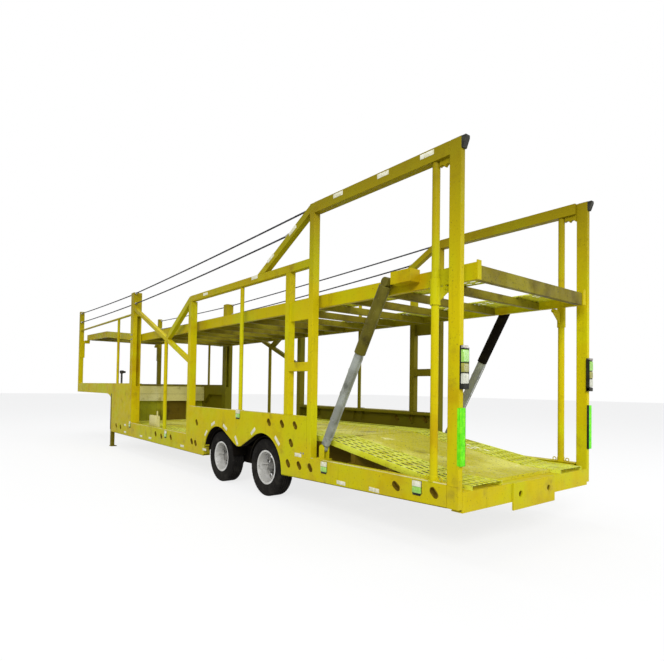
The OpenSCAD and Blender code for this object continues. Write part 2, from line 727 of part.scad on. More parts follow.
// A hinge lug plate with its bore, its inner face at y0; dir is the side on which its deck lies.
module deck_lug(y0, dir) difference() {
    union() {
        translate([xr(main_post_at), y0 + lug_t, hinge_z]) rotate([90, 0, 0]) cylinder(h = lug_t, r = lug_r);
        translate([xr(main_post_at) + (dir < 0 ? -lug_reach : 0), y0, hinge_z - lug_r])
            cube([lug_reach, lug_t, 2 * lug_r]);
    }
    translate([xr(main_post_at), y0 + lug_t + 1, hinge_z]) rotate([90, 0, 0])
        cylinder(h = lug_t + 2, r = deck_shaft_d / 2 + running_gap);
}

end_plate_t = 14;
end_plate_up = 20;
end_beam_l = 60;
deck_cross_l = 60;
cross_from = 500;
cross_step = 620;
cross_room = 200;
deck_end_gap = lug_r + moving_gap + 5;
rear_deck_from = end_plate_t - deck_overhang;
rear_deck_to = main_post_at - deck_end_gap;
deck_low_z = deck_top_z - deck_beam_h;
module rear_deck_frame() color(paint) {
    both() {
        block(rear_deck_from, rear_deck_to, beam_in_y, deck_half, deck_low_z, deck_top_z);
        block(-deck_overhang, rear_deck_from, beam_in_y, deck_half, deck_low_z, deck_top_z + end_plate_up);
        deck_lug(beam_in_y + deck_beam_w / 2 + lug_gap / 2, -1);
        eye_bracket();
    }
}
module rear_deck_crosses() color(paint) {
    block(rear_deck_from, rear_deck_from + end_beam_l, -beam_in_y, beam_in_y, deck_low_z,
          deck_top_z - end_plate_up);
    for (a = [cross_from : cross_step : rear_deck_to - cross_room])
        block(a, a + deck_cross_l, -beam_in_y, beam_in_y, deck_low_z, deck_low_z + deck_cross_h);
}

deck_track_z = deck_low_z + deck_cross_h;
deck_track_out = beam_in_y - 15;
deck_track_w = 520;
deck_track_t = 14;
module rear_deck_tracks() color(paint) both()
    block(rear_deck_from + end_beam_l, rear_deck_to, deck_track_out - deck_track_w, deck_track_out,
          deck_track_z, deck_track_z + deck_track_t);

// The box on the edge beam beside a rod's upper eye.
bracket_l = 275;
bracket_h = 130;
bracket_up = 40;
bracket_gap = 105;
bracket_in = 50;
module eye_bracket()
    block(eye_at - bracket_gap - bracket_l, eye_at - bracket_gap, deck_half, half_w - bracket_in,
          deck_top_z - bracket_h + bracket_up, deck_top_z + bracket_up);

front_deck_from = main_post_at + deck_end_gap;
front_deck_to = neck_to - moving_gap - 30;
// The front deck bends at this share of the way to its front end.
front_kink_share = 0.5744;
front_kink_at = main_post_at + front_kink_share * (front_deck_to - main_post_at);
front_cross_from = main_post_at + 460;
front_kink_z = front_deck_top_z - 40;
front_beam_l = 80;
front_line = [[front_deck_from, deck_top_z + 10], [front_kink_at, front_kink_z],
              [front_deck_to, front_deck_top_z]];
function deck_under(at) = lookup(at, front_line) - deck_beam_h;
module front_deck_frame() color(paint) {
    both() {
        side_plate(beam_in_y, deck_half)
            polygon(concat(front_line, lowered(front_line, deck_beam_h)));
        deck_lug(beam_in_y + deck_beam_w / 2 - lug_gap / 2 - lug_t, 1);
    }
}
module front_deck_crosses() color(paint) {
    for (a = [front_cross_from : cross_step : front_deck_to - cross_room])
        side_plate(-beam_in_y, beam_in_y)
            polygon([[a, deck_under(a)], [a + deck_cross_l, deck_under(a + deck_cross_l)],
                     [a + deck_cross_l, deck_under(a + deck_cross_l) + deck_cross_h],
                     [a, deck_under(a) + deck_cross_h]]);
    block(front_deck_to - front_beam_l, front_deck_to, -beam_in_y, beam_in_y,
          deck_under(front_deck_to - front_beam_l) + 6, front_deck_top_z - end_plate_up);
}
track_front_at = front_deck_to - front_beam_l;
seat_gap = 0.02;
front_track_line = [for (at = [front_deck_from, front_kink_at, track_front_at])
    [at, deck_under(at) + deck_cross_h + seat_gap + deck_track_t]];
module front_deck_tracks() color(paint) both()
    side_plate(deck_track_out - deck_track_w, deck_track_out)
        polygon(concat(front_track_line, lowered(front_track_line, deck_track_t)));

// ---- lift cylinders --------------------------------------------------------

cyl_dir = [eye_at - foot_pin_at, eye_z - foot_pin_z];
cyl_l = norm(cyl_dir);
cyl_lean = atan2(cyl_dir[0], cyl_dir[1]);
foot_lug_t = 16;
foot_boss_r = 45;
foot_boss_w = 50;
foot_gap = 4;
foot_neck_l = 58;

// Places its children on a cylinder's axis, with +Z from the foot pin to the eye.
module on_cylinder(side)
    translate([xr(foot_pin_at), side * cylinder_y, foot_pin_z]) rotate([0, cyl_lean, 0]) children();

foot_lug_y = foot_boss_w / 2 + foot_gap + foot_lug_t / 2;
foot_plate_t = 12;
foot_plate_l = 180;
module cylinder_feet() color(dark_paint) both() {
    translate([xr(foot_pin_at), cylinder_y, foot_pin_z]) rotate([90, 0, 0])
        cylinder(h = 2 * foot_lug_y + foot_lug_t, d = foot_pin_d, center = true);
    for (s = [-1, 1]) {
        translate([xr(foot_pin_at), cylinder_y + s * foot_lug_y, foot_pin_z])
            rotate([90, 0, 0]) cylinder(h = foot_lug_t, r = foot_boss_r, center = true);
        block(foot_pin_at - foot_boss_r, foot_pin_at + foot_boss_r, cylinder_y + s * foot_lug_y - foot_lug_t / 2,
              cylinder_y + s * foot_lug_y + foot_lug_t / 2, sill_top_z + foot_plate_t, foot_pin_z);
    }
    block(foot_pin_at - foot_plate_l / 2, foot_pin_at + foot_plate_l / 2,
          cylinder_y - foot_lug_y - foot_lug_t, half_w, sill_top_z, sill_top_z + foot_plate_t);
}

barrel_floor = 90;
gland_l = 50;
module barrel(side) on_cylinder(side) difference() {
    union() {
        rotate([90, 0, 0]) cylinder(h = foot_boss_w, r = foot_boss_r, center = true);
        cylinder(h = foot_neck_l + lap, d = foot_boss_w);
        translate([0, 0, foot_neck_l]) cylinder(h = barrel_l - foot_neck_l, d = barrel_d);
    }
    rotate([90, 0, 0]) cylinder(h = foot_boss_w + 2, r = foot_pin_d / 2 + running_gap, center = true);
    translate([0, 0, barrel_floor])
        cylinder(h = barrel_l - barrel_floor - gland_l, d = barrel_d - 2 * cylinder_wall);
    translate([0, 0, barrel_floor]) cylinder(h = barrel_l, r = rod_d / 2 + running_gap);
}
module cylinder_barrel_left() color("darkgray") barrel(1);
module cylinder_barrel_right() color("darkgray") barrel(-1);

cover_l = 790;
eye_r = 52;
eye_w = 70;
rod_hold = 130;
cover_top = 10;
cover_cap = 20;
eye_pin_in = moving_gap - 3;
module rod(side) on_cylinder(side) {
    translate([0, 0, barrel_l - rod_hold])
        cylinder(h = cyl_l - eye_r - barrel_l + rod_hold + cover_top, d = rod_d);
    translate([0, 0, cyl_l - cover_l - eye_r]) difference() {
        cylinder(h = cover_l + cover_top, d = cover_d);
        translate([0, 0, -1])
            cylinder(h = cover_l + cover_top - cover_cap + 1, d = cover_d - 2 * cover_wall);
    }
    translate([0, 0, cyl_l]) rotate([90, 0, 0]) cylinder(h = eye_w, r = eye_r, center = true);
    translate([0, 0, cyl_l]) rotate([side * 90, 0, 0])
        cylinder(h = cylinder_y - deck_half - eye_pin_in, d = foot_pin_d);
}
module cylinder_rod_left() color(paint) rod(1);
module cylinder_rod_right() color(paint) rod(-1);

// ---- deck guides -------------------------------------------------------------

pad_r = 24;
sleeve_d = guide_post_d + 2 * guide_gap;
sleeve_up = 40;
arm_t = 16;
arm_h = 190;
arm_in = 20;
guide_top_z = deck_low_z - moving_gap / 2;
module rear_guides() color(paint) both() {
    translate([xr(guide_post_at), guide_post_y, guide_top_z - guide_l + sleeve_up]) difference() {
        cylinder(h = guide_l, d = sleeve_d + 2 * guide_wall);
        translate([0, 0, -1]) cylinder(h = guide_l + 2, d = sleeve_d);
    }
    difference() {
        translate([xr(guide_post_at), 0, 0]) rotate([90, 0, 90]) linear_extrude(arm_t, center = true)
            polygon([[beam_in_y, guide_top_z - pad_r], [guide_post_y - arm_in, guide_top_z - pad_r],
                     [guide_post_y - arm_in, guide_top_z - arm_h], [beam_in_y, guide_top_z - pad_r - arm_in]]);
        translate([xr(guide_post_at), guide_post_y, guide_top_z - 2 * arm_h])
            cylinder(h = 3 * arm_h, d = sleeve_d + guide_wall);
    }
    translate([xr(guide_post_at), deck_half + arm_in, guide_top_z - pad_r]) rotate([90, 0, 0])
        cylinder(h = deck_beam_w + arm_in, r = pad_r);
}

shoe_l = 520;
shoe_t = 18;
shoe_out = 10;
front_pad_z = front_deck_top_z - deck_beam_h - moving_gap / 2;
shoe_x = neck_to - moving_gap / 2;
shoe_y = half_w - front_post_s - moving_gap / 2;
shoe_arm_h = 66;
module front_guides() color(paint) both() {
    block(shoe_x - shoe_t, shoe_x, shoe_y - shoe_t, half_w - shoe_out, front_pad_z - shoe_l,
          front_pad_z - shoe_out);
    block(shoe_x - shoe_t, frame_l - 2 * shoe_out, shoe_y - shoe_t, shoe_y, front_pad_z - shoe_l,
          front_pad_z - shoe_out);
    block(front_deck_to - end_beam_l, shoe_x - shoe_t, beam_in_y, shoe_y,
          front_pad_z - pad_r - shoe_arm_h, front_pad_z - pad_r);
    translate([xr(front_deck_to - end_beam_l), shoe_y, front_pad_z - pad_r])
        rotate([90, 0, 0]) cylinder(h = shoe_y - beam_in_y, r = pad_r);
}

corner_posts();
round_posts();
ladder_frames();
middle_posts();
top_rails();
waist_rails();
long_braces();
guard_cables();
sills();
wheel_panels();
rear_beam();
tow_plate();
cross_members();
lower_tracks();
centre_floor();
neck_sides();
bulkhead();
neck_floor();
coupler();
landing_legs();
axle_beams();
suspension();
lamps();
deck_shaft();
cylinder_feet();
rear_deck_frame();
rear_deck_crosses();
rear_deck_tracks();
front_deck_frame();
front_deck_crosses();
front_deck_tracks();
cylinder_barrel_left();
cylinder_barrel_right();
cylinder_rod_left();
cylinder_rod_right();
rear_guides();
front_guides();
tyres_rear_left();
tyres_rear_right();
tyres_front_left();
tyres_front_right();
rims_rear_left();
rims_rear_right();
rims_front_left();
rims_front_right();
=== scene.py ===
"""Looks of a two-deck car-carrier semi-trailer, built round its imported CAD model.

Everything is in metres: X runs forward, Y to the left, Z up, and Z = 0 is the ground.
at(d) turns a distance ahead of the rear beam, in millimetres, into the model's x."""
import math
import bmesh
import bpy
import numpy as np
from mathutils import Matrix, Vector
from mathutils.geometry import tessellate_polygon


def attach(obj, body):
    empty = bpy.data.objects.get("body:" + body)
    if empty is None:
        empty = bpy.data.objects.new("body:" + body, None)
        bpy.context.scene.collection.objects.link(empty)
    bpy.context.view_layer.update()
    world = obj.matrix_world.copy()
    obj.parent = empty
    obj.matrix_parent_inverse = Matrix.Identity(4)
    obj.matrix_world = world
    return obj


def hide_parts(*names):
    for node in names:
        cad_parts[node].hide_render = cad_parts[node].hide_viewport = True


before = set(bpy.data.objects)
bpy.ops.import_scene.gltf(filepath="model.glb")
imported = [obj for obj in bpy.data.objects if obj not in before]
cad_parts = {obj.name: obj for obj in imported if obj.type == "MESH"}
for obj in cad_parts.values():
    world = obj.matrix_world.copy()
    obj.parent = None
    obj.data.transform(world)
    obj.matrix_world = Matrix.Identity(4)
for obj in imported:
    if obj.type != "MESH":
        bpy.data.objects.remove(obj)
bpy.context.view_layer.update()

TAU = 2 * math.pi
REAR_X = -6.9775                # the rear beam's place in the model
HALF_W = 1.250                  # outer faces of sills, panels and corner posts
SILL_IN = 1.130                 # inner faces of the sills
SILL_MID = (SILL_IN + HALF_W) / 2
TRACK_IN, TRACK_OUT = 0.57, 1.05        # edges of a lower track
UPPER_IN, UPPER_OUT = 0.46, 0.98        # edges of an upper deck's track
AXLES = (3360, 4720)            # millimetres ahead of the rear beam
HUB_Z = 0.3985                  # height of the wheels' middles, a tyre's radius
SIDES = (("left", 1), ("right", -1))


def at(d):
    """The model's x for a place d millimetres ahead of the rear beam."""
    return np.asarray(d, float) / 1000 + REAR_X


HINGE = np.array([at(9040), 0.0, 2.61])         # the middle of the decks' shaft

# ---- meshes -------------------------------------------------------------------

def xyz(x, y, z):
    """Points from three coordinates, each of which may be one number for all points."""
    return np.stack(np.broadcast_arrays(np.asarray(x, float), y, z), -1)


def grid_faces(nu, nv, wrap_u=False, wrap_v=False):
    """Quads of a grid of nu by nv points, joined round where a direction wraps."""
    u = np.arange(nu if wrap_u else nu - 1)
    v = np.arange(nv if wrap_v else nv - 1)
    a, b = np.meshgrid(u, v, indexing="ij")
    c, d = (a + 1) % nu, (b + 1) % nv
    return np.stack([a * nv + b, c * nv + b, c * nv + d, a * nv + d], -1).reshape(-1, 4)


def cell_faces(count, rings, n):
    """Quads that join each ring of n points to the next one, in each of count cells."""
    one = grid_faces(rings, n, False, True)[:, [0, 3, 2, 1]]
    return (np.arange(count)[:, None, None] * rings * n + one).reshape(-1, 4)


def merged(parts):
    """Several (points, faces) surfaces as one, each part's faces counted on from the last part's end."""
    points, faces, start = [], [], 0
    for p, f in parts:
        points.append(np.asarray(p, float))
        faces += [tuple(int(i) + start for i in q) for q in f]
        start += len(p)
    return np.concatenate(points), faces


def dressed(name, mesh, material, body, stands_for=(), smooth=35, bevel=0.0):
    """A mesh as an object: smooth up to an angle, its edges rounded by bevel, riding on its body."""
    mesh.materials.clear()
    mesh.materials.append(material)
    mesh.shade_smooth()
    mesh.set_sharp_from_angle(angle=math.radians(smooth))
    thing = bpy.data.objects.new(name, mesh)
    bpy.context.scene.collection.objects.link(thing)
    if bevel:
        rounding = thing.modifiers.new("rounded_edges", "BEVEL")
        rounding.width = bevel
        rounding.segments = 2
        rounding.limit_method = "ANGLE"
        rounding.angle_limit = math.radians(40)
        rounding.harden_normals = True
    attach(thing, body)
    if stands_for:
        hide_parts(*stands_for)


def piece(name, parts, material, body, stands_for=(), smooth=35):
    """Puts surfaces into one mesh object with its normals outward, and lets it ride on a body."""
    points, faces = merged(parts)
    mesh = bpy.data.meshes.new(name)
    mesh.from_pydata(points.tolist(), [], faces)
    made = bmesh.new()
    made.from_mesh(mesh)
    bmesh.ops.remove_doubles(made, verts=made.verts, dist=1e-5)
    bmesh.ops.recalc_face_normals(made, faces=made.faces)
    made.to_mesh(mesh)
    made.free()
    dressed(name, mesh, material, body, stands_for, smooth)


def mirrored(parts):
    """The same surfaces on the other side: y becomes -y and each face is turned round."""
    return [(np.asarray(p) * [1, -1, 1], [tuple(q)[::-1] for q in f]) for p, f in parts]


def pair(name, parts, material, stands_for=(), smooth=35, body="frame"):
    """One piece of the left side's surfaces and their mirror image on the right side."""
    piece(name, parts + mirrored(parts), material, body, stands_for, smooth)


def softened(node, material, body="frame", bevel=0.004):
    """A CAD node's own shape with its loose triangles joined, flat faces made whole and edges rounded."""
    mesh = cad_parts[node].data.copy()
    made = bmesh.new()
    made.from_mesh(mesh)
    bmesh.ops.remove_doubles(made, verts=made.verts, dist=2e-5)
    bmesh.ops.dissolve_limit(made, angle_limit=math.radians(0.6), verts=made.verts, edges=made.edges)
    made.to_mesh(mesh)
    made.free()
    dressed(node + "_look", mesh, material, body, (node,), 20, bevel)


def swept(path, section, up=(0, 0, 1), wrap=False, turn=None, sizes=None):
    """A section of [across, upward] points carried along a path: point + across * side + upward * rise,
    where side = tangent x up and rise = side x tangent. turn rolls it and sizes scales it on the way."""
    path, section = np.asarray(path, float), np.asarray(section, float)
    tangent = np.roll(path, -1, 0) - np.roll(path, 1, 0) if wrap else np.gradient(path, axis=0)
    tangent /= np.linalg.norm(tangent, axis=1)[:, None]
    side = np.cross(tangent, np.broadcast_to(np.asarray(up, float), tangent.shape))
    side /= np.linalg.norm(side, axis=1)[:, None]
    rise = np.cross(side, tangent)
    n, m = len(path), len(section)
    across, upward = (np.broadcast_to(section[None, :, i], (n, m)) for i in (0, 1))
    if sizes is not None:
        across, upward = across * np.asarray(sizes)[:, None], upward * np.asarray(sizes)[:, None]
    if turn is not None:
        c, s = np.cos(turn)[:, None], np.sin(turn)[:, None]
        across, upward = across * c - upward * s, across * s + upward * c
    points = path[:, None] + across[..., None] * side[:, None] + upward[..., None] * rise[:, None]
    faces = grid_faces(n, m, wrap, True).tolist()
    if not wrap:
        faces += [list(range(m)), list(range((n - 1) * m, n * m))[::-1]]
    return points.reshape(-1, 3), faces


def circle(r, n=16):
    """n points on a circle of radius r."""
    a = np.arange(n) * TAU / n
    return np.stack([r * np.cos(a), r * np.sin(a)], -1)


def soft_box(w, h, r, n=3):
    """A rectangle w by h whose corners are arcs of radius r."""
    a = np.linspace(0, math.pi / 2, n)
    corners = ((1, 1, 0), (-1, 1, math.pi / 2), (-1, -1, math.pi), (1, -1, 1.5 * math.pi))
    return np.concatenate([np.stack([sx * (w / 2 - r), sy * (h / 2 - r)])
        + r * np.stack([np.cos(a + k), np.sin(a + k)], -1) for sx, sy, k in corners])


def straight(p, q, section, edge=0.002):
    """A straight bar from p to q whose ends shrink over the length edge, as a rounded arris does."""
    p, q = np.asarray(p, float), np.asarray(q, float)
    length = np.linalg.norm(q - p)
    t = np.array([0, edge, length - edge, length]) / length
    big = np.abs(np.asarray(section)).max()
    return swept(p + t[:, None] * (q - p), section, sizes=[1 - edge / big, 1, 1, 1 - edge / big])


def slab(x, y, z, r=0.004):
    """A block between two x, two y and two z values, with all its edges rounded by r."""
    w, h = y[1] - y[0], z[1] - z[0]
    r = min(r, w / 2.1, h / 2.1, (x[1] - x[0]) / 2.1)
    ends = [[end, (y[0] + y[1]) / 2, (z[0] + z[1]) / 2] for end in x]
    return straight(*ends, soft_box(w, h, r), r)


def turned(profile, centre, axis=(0, 1, 0), n=32):
    """A profile of [radius, along] points turned about an axis, by default from right to left."""
    profile = np.asarray(profile, float)
    axis = np.asarray(axis, float) / np.linalg.norm(axis)
    first = np.cross(axis, [0.3, 0.2, 0.93] if abs(axis[2]) < 0.9 else [1, 0, 0])
    first /= np.linalg.norm(first)
    second = np.cross(axis, first)
    a = (np.arange(n) * TAU / n)[:, None, None]
    points = (np.asarray(centre) + profile[None, :, 0, None] * (np.cos(a) * first + np.sin(a) * second)
        + profile[None, :, 1, None] * axis)
    return points.reshape(-1, 3), grid_faces(n, len(profile), True, False).tolist()


def plate(outline, holes, y0, y1):
    """A flat plate of [x, z] outline with holes, from y0 to y1: the region is triangulated once for each
    face, and each edge loop gets a wall across the thickness."""
    loops = [np.asarray(loop, float) for loop in [outline] + holes]
    flat = np.concatenate(loops)
    triangles = tessellate_polygon([[Vector((p[0], p[1], 0)) for p in loop] for loop in loops])
    n = len(flat)
    points = np.concatenate([xyz(flat[:, 0], y, flat[:, 1]) for y in (y0, y1)])
    faces = [tuple(t) for t in triangles] + [tuple(i + n for i in t[::-1]) for t in triangles]
    start = 0
    for loop in loops:
        i = np.arange(len(loop)) + start
        j = np.roll(i, -1)
        faces += np.stack([i, j, j + n, i + n], -1).tolist()
        start += len(loop)
    return points, faces


def oblong(cx, cz, width, length, lean=0.0):
    """A slot's outline: two half circles joined, leaning from the plumb line by lean degrees."""
    a = np.linspace(0, math.pi, 6)
    r, h = width / 2, (length - width) / 2
    points = np.concatenate([np.stack([r * np.cos(a), h + r * np.sin(a)], -1),
        np.stack([-r * np.cos(a), -h - r * np.sin(a)], -1)])
    t = math.radians(-lean)
    return points @ np.array([[math.cos(t), math.sin(t)], [-math.sin(t), math.cos(t)]]) + [cx, cz]


def bolt(centre, axis, d, washer=True):
    """A hexagon head on a washer: a six-sided prism with a domed top."""
    ring = np.array([[0, 0], [1.9, 0], [1.9, 0.25], [0, 0.25]]) * (d / 2)
    head = np.array([[1.2, 0], [1.2, 1.1], [0.9, 1.4], [0, 1.4]]) * (d / 2)
    return ([turned(ring, centre, axis, 14)] if washer else []) + [turned(head, centre, axis, 6)]


def weld(p, q):
    """A weld bead: a round section along p to q whose size swells and shrinks as the sum of two sines."""
    p, q = np.asarray(p, float), np.asarray(q, float)
    i = np.arange(max(8, int(np.linalg.norm(q - p) / 0.006)))
    t = np.linspace(0, 1, len(i))
    swell = 1 + 0.18 * np.sin(i * 2.1) + 0.08 * np.sin(i * 0.7)
    return swept(p + t[:, None] * (q - p), circle(0.005, 6), (0.3, 0.5, 0.8), sizes=swell)


# ---- materials ----------------------------------------------------------------

def fill(node, **values):
    """Sets a node's inputs by name, where an underscore stands for a space."""
    for name, value in values.items():
        node.inputs[name.replace("_", " ")].default_value = value


def maths(tree, kind, a, b):
    """A math node's result for a and b, where b may be a number."""
    t = tree.nodes.new("ShaderNodeMath")
    t.operation = kind
    tree.links.new(a, t.inputs[0])
    if isinstance(b, float):
        t.inputs[1].default_value = b
    else:
        tree.links.new(b, t.inputs[1])
    return t.outputs[0]


RUST = (0.16, 0.055, 0.015)
GRIME_SHARE = 0.45              # a streak's colour as a share of the paint's
# the ranges in which painted shade darkens the right side's inner faces: of y, of the normal's y, of x and
# of z
INNER_Y, INNER_FACING, INNER_X, INNER_Z = (-0.9, -1.02), (-0.45, -0.15), (-5.4, -5.0), (3.15, 2.45)


def material(name, colour, rough, metallic=0.0, shades=(), speck=None, dust=None, rust=0.0, bump=0.0,
        bump_scale=180.0, coat=0.0, edge=None, streaks=0.0, gloss=0.12, painted_shade_aloft=None, inner=None):
    """A finish of layers on object coordinates: broad shades of colour at random, fine specks, plumb
    streaks, dust that thickens towards the ground, rust in broken spots, and paint worn from the edges. A
    finish can also
    carry painted shade: it darkens with height, and on the right side's inner faces from the lift
    cylinders forwards."""
    m = bpy.data.materials.new(name)
    m.use_nodes = True
    tree = m.node_tree
    n, link = tree.nodes, tree.links
    shader = n["Principled BSDF"]
    fill(shader, Metallic=metallic, Coat_Weight=coat, Coat_Roughness=0.15, Specular_IOR_Level=gloss)
    place = n.new("ShaderNodeTexCoord").outputs["Object"]

    def noise(scale, detail=3.0, grain=0.55, stretch=None):
        t = n.new("ShaderNodeTexNoise")
        fill(t, Scale=scale, Detail=detail, Roughness=grain)
        source = place
        if stretch:
            mapping = n.new("ShaderNodeMapping")
            fill(mapping, Scale=stretch)
            link.new(place, mapping.inputs["Vector"])
            source = mapping.outputs["Vector"]
        link.new(source, t.inputs["Vector"])
        return t.outputs["Fac"]

    def ramp(value, low, high, smooth=True, to=(0.0, 1.0)):
        t = n.new("ShaderNodeMapRange")
        t.interpolation_type = "SMOOTHSTEP" if smooth else "LINEAR"
        fill(t, From_Min=low, From_Max=high, To_Min=to[0], To_Max=to[1])
        link.new(value, t.inputs["Value"])
        return t.outputs["Result"]

    def along(letter, vector=place):
        t = n.new("ShaderNodeSeparateXYZ")
        link.new(vector, t.inputs[0])
        return t.outputs[letter]

    def times(a, b):
        return maths(tree, "MULTIPLY", a, b)

    def over(below, shade, factor):
        t = n.new("ShaderNodeMix")
        t.data_type = "RGBA"
        link.new(factor, t.inputs["Factor"])
        if isinstance(below, tuple):
            t.inputs["A"].default_value = (*below, 1)
        else:
            link.new(below, t.inputs["A"])
        t.inputs["B"].default_value = (*shade, 1)
        return t.outputs["Result"]

    look = colour
    for i, (shade, scale, low, high) in enumerate(shades):
        look = over(look, shade, ramp(noise(scale, 3.0 + i), low, high))
    if speck:
        look = over(look, speck[0], ramp(noise(speck[1], 2.0), speck[2], speck[3]))
    if streaks:
        run = ramp(noise(1.0, 4.0, 0.6, (22, 22, 1.3)), 0.56, 0.78)
        look = over(look, tuple(c * GRIME_SHARE for c in colour), times(run, streaks))
    # painted shade: the colour darkens with height
    if painted_shade_aloft:
        look = over(look, painted_shade_aloft[0], times(ramp(along("Z"), painted_shade_aloft[1], painted_shade_aloft[2], False), painted_shade_aloft[3]))
    # painted shade on the right side's inner faces, lower down and from the lift cylinders forwards
    if inner:
        facing = along("Y", n.new("ShaderNodeNewGeometry").outputs["Normal"])
        far = times(ramp(along("Y"), *INNER_Y), ramp(facing, *INNER_FACING))
        ahead = times(ramp(along("X"), *INNER_X), ramp(along("Z"), *INNER_Z))
        look = over(look, inner[0], times(times(far, ahead), inner[1]))
    if edge:
        wide = n.new("ShaderNodeBevel")
        wide.samples = 4
        fill(wide, Radius=edge[1])
        dot = n.new("ShaderNodeVectorMath")
        dot.operation = "DOT_PRODUCT"
        link.new(wide.outputs["Normal"], dot.inputs[0])
        link.new(n.new("ShaderNodeNewGeometry").outputs["Normal"], dot.inputs[1])
        near_edge = ramp(dot.outputs["Value"], 0.985, 0.86)
        look = over(look, edge[0], times(near_edge, ramp(noise(26.0, 4.0, 0.65), 0.47, 0.6)))
    if rust:
        spots = times(ramp(noise(34.0, 5.0, 0.7), 0.66, 0.74), ramp(noise(1.7, 2.0), 0.48, 0.66))
        look = over(look, RUST, times(spots, rust))
    if dust:
        low = times(ramp(along("Z"), dust[2], dust[1]), ramp(noise(5.0, 5.0, 0.7), 0.3, 0.72))
        look = over(look, dust[0], times(low, dust[3]))
    link.new(look, shader.inputs["Base Color"])
    spread = (max(0.05, rough - 0.1), min(1.0, rough + 0.14))
    link.new(ramp(noise(9.0, 4.0), 0.3, 0.7, False, spread), shader.inputs["Roughness"])
    if bump:
        relief = n.new("ShaderNodeBump")
        fill(relief, Strength=0.6, Distance=bump)
        link.new(noise(bump_scale), relief.inputs["Height"])
        link.new(relief.outputs["Normal"], shader.inputs["Normal"])
    return m


YELLOW = (0.62, 0.5, 0.002)
LIME = (0.58, 0.55, 0.003)
OCHRE = (0.52, 0.36, 0.002)
DUST = (0.27, 0.235, 0.12)
# the frame's darkening with height and on the right side's inner faces is painted shade
frame_paint = material("frame_yellow_paint", YELLOW, 0.46,
    shades=[(LIME, 0.8, 0.44, 0.6), (OCHRE, 1.7, 0.53, 0.74), ((0.4, 0.3, 0.008), 5.0, 0.56, 0.8)],
    speck=((0.25, 0.19, 0.01), 62.0, 0.64, 0.76), dust=(DUST, 0.35, 1.1, 0.14), rust=0.8, bump=0.0006,
    edge=((0.3, 0.2, 0.02), 0.004), streaks=0.3, gloss=0.06, painted_shade_aloft=((0.17, 0.125, 0.004), 2.3, 3.9, 0.85),
    inner=((0.08, 0.07, 0.006), 0.82))
deck_paint = material("deck_olive_paint", (0.17, 0.135, 0.004), 0.55,
    shades=[((0.25, 0.215, 0.008), 1.4, 0.42, 0.62), ((0.1, 0.075, 0.005), 3.1, 0.5, 0.75)],
    speck=((0.07, 0.055, 0.012), 60.0, 0.6, 0.72), rust=0.9, bump=0.0007, edge=((0.15, 0.12, 0.05), 0.005),
    streaks=0.3)
track_paint = material("track_worn_lime_paint", (0.66, 0.67, 0.025), 0.48,
    shades=[((0.72, 0.77, 0.07), 1.7, 0.42, 0.6), ((0.45, 0.41, 0.02), 4.0, 0.52, 0.75)],
    speck=((0.2, 0.17, 0.04), 55.0, 0.6, 0.72), rust=0.8, bump=0.0006, edge=((0.7, 0.7, 0.34), 0.004),
    gloss=0.08)
floor_paint = material("floor_plate_worn_paint", (0.54, 0.49, 0.016), 0.5,
    shades=[((0.7, 0.67, 0.12), 0.9, 0.46, 0.62), ((0.26, 0.22, 0.02), 1.9, 0.54, 0.72),
    ((0.8, 0.78, 0.34), 3.2, 0.6, 0.74)], speck=((0.12, 0.1, 0.03), 48.0, 0.58, 0.72), rust=0.9,
    bump=0.0006, edge=((0.5, 0.47, 0.26), 0.003))
# pale yellow as painted highlight along the rolled lips on the sill and panel tops
painted_highlight_pale = material("pale_yellow_painted_highlight", (0.6, 0.54, 0.16), 0.45,
    shades=[((0.68, 0.64, 0.3), 2.0, 0.42, 0.62), ((0.38, 0.33, 0.07), 5.0, 0.54, 0.76)],
    speck=((0.24, 0.2, 0.07), 60.0, 0.64, 0.74), rust=0.6, bump=0.0005, edge=((0.3, 0.24, 0.1), 0.005))
box_paint = material("neck_box_weathered_paint", (0.72, 0.66, 0.26), 0.5,
    shades=[((0.84, 0.8, 0.44), 1.6, 0.44, 0.62), ((0.44, 0.38, 0.12), 3.4, 0.54, 0.76)],
    speck=((0.2, 0.16, 0.05), 50.0, 0.62, 0.74), rust=0.6, bump=0.0006, streaks=0.4,
    edge=((0.26, 0.2, 0.08), 0.005))
bulkhead_paint = material("bulkhead_olive_paint", (0.42, 0.4, 0.01), 0.52,
    shades=[((0.44, 0.46, 0.02), 1.1, 0.44, 0.62), ((0.17, 0.145, 0.006), 2.4, 0.5, 0.74)],
    speck=((0.08, 0.06, 0.01), 50.0, 0.62, 0.74), rust=0.8, bump=0.0006, streaks=0.5,
    edge=((0.16, 0.12, 0.04), 0.005))
# dark brown as painted shade: on the cross members under the decks and on the bulkhead's right recess
painted_shade_brown = material("recess_painted_shade_brown", (0.135, 0.09, 0.003), 0.58,
    shades=[((0.15, 0.105, 0.006), 1.8, 0.44, 0.64), ((0.05, 0.035, 0.003), 4.0, 0.52, 0.76)], rust=0.6,
    bump=0.0006, streaks=0.4, edge=((0.2, 0.15, 0.05), 0.004))
sleeve_paint = material("rod_cover_dark_olive_paint", (0.115, 0.098, 0.01), 0.5,
    shades=[((0.17, 0.15, 0.02), 2.6, 0.44, 0.64), ((0.05, 0.04, 0.006), 5.0, 0.52, 0.76)],
    speck=((0.24, 0.2, 0.06), 70.0, 0.64, 0.74), rust=0.7, bump=0.0005, streaks=0.4,
    edge=((0.22, 0.19, 0.08), 0.004))
dark_steel = material("dark_underframe_steel", (0.02, 0.018, 0.014), 0.66,
    shades=[((0.04, 0.035, 0.024), 3.0, 0.45, 0.68)], speck=((0.09, 0.075, 0.045), 80.0, 0.62, 0.74),
    dust=(DUST, 0.1, 0.9, 0.2), rust=0.7, bump=0.0008, edge=((0.12, 0.1, 0.07), 0.004))
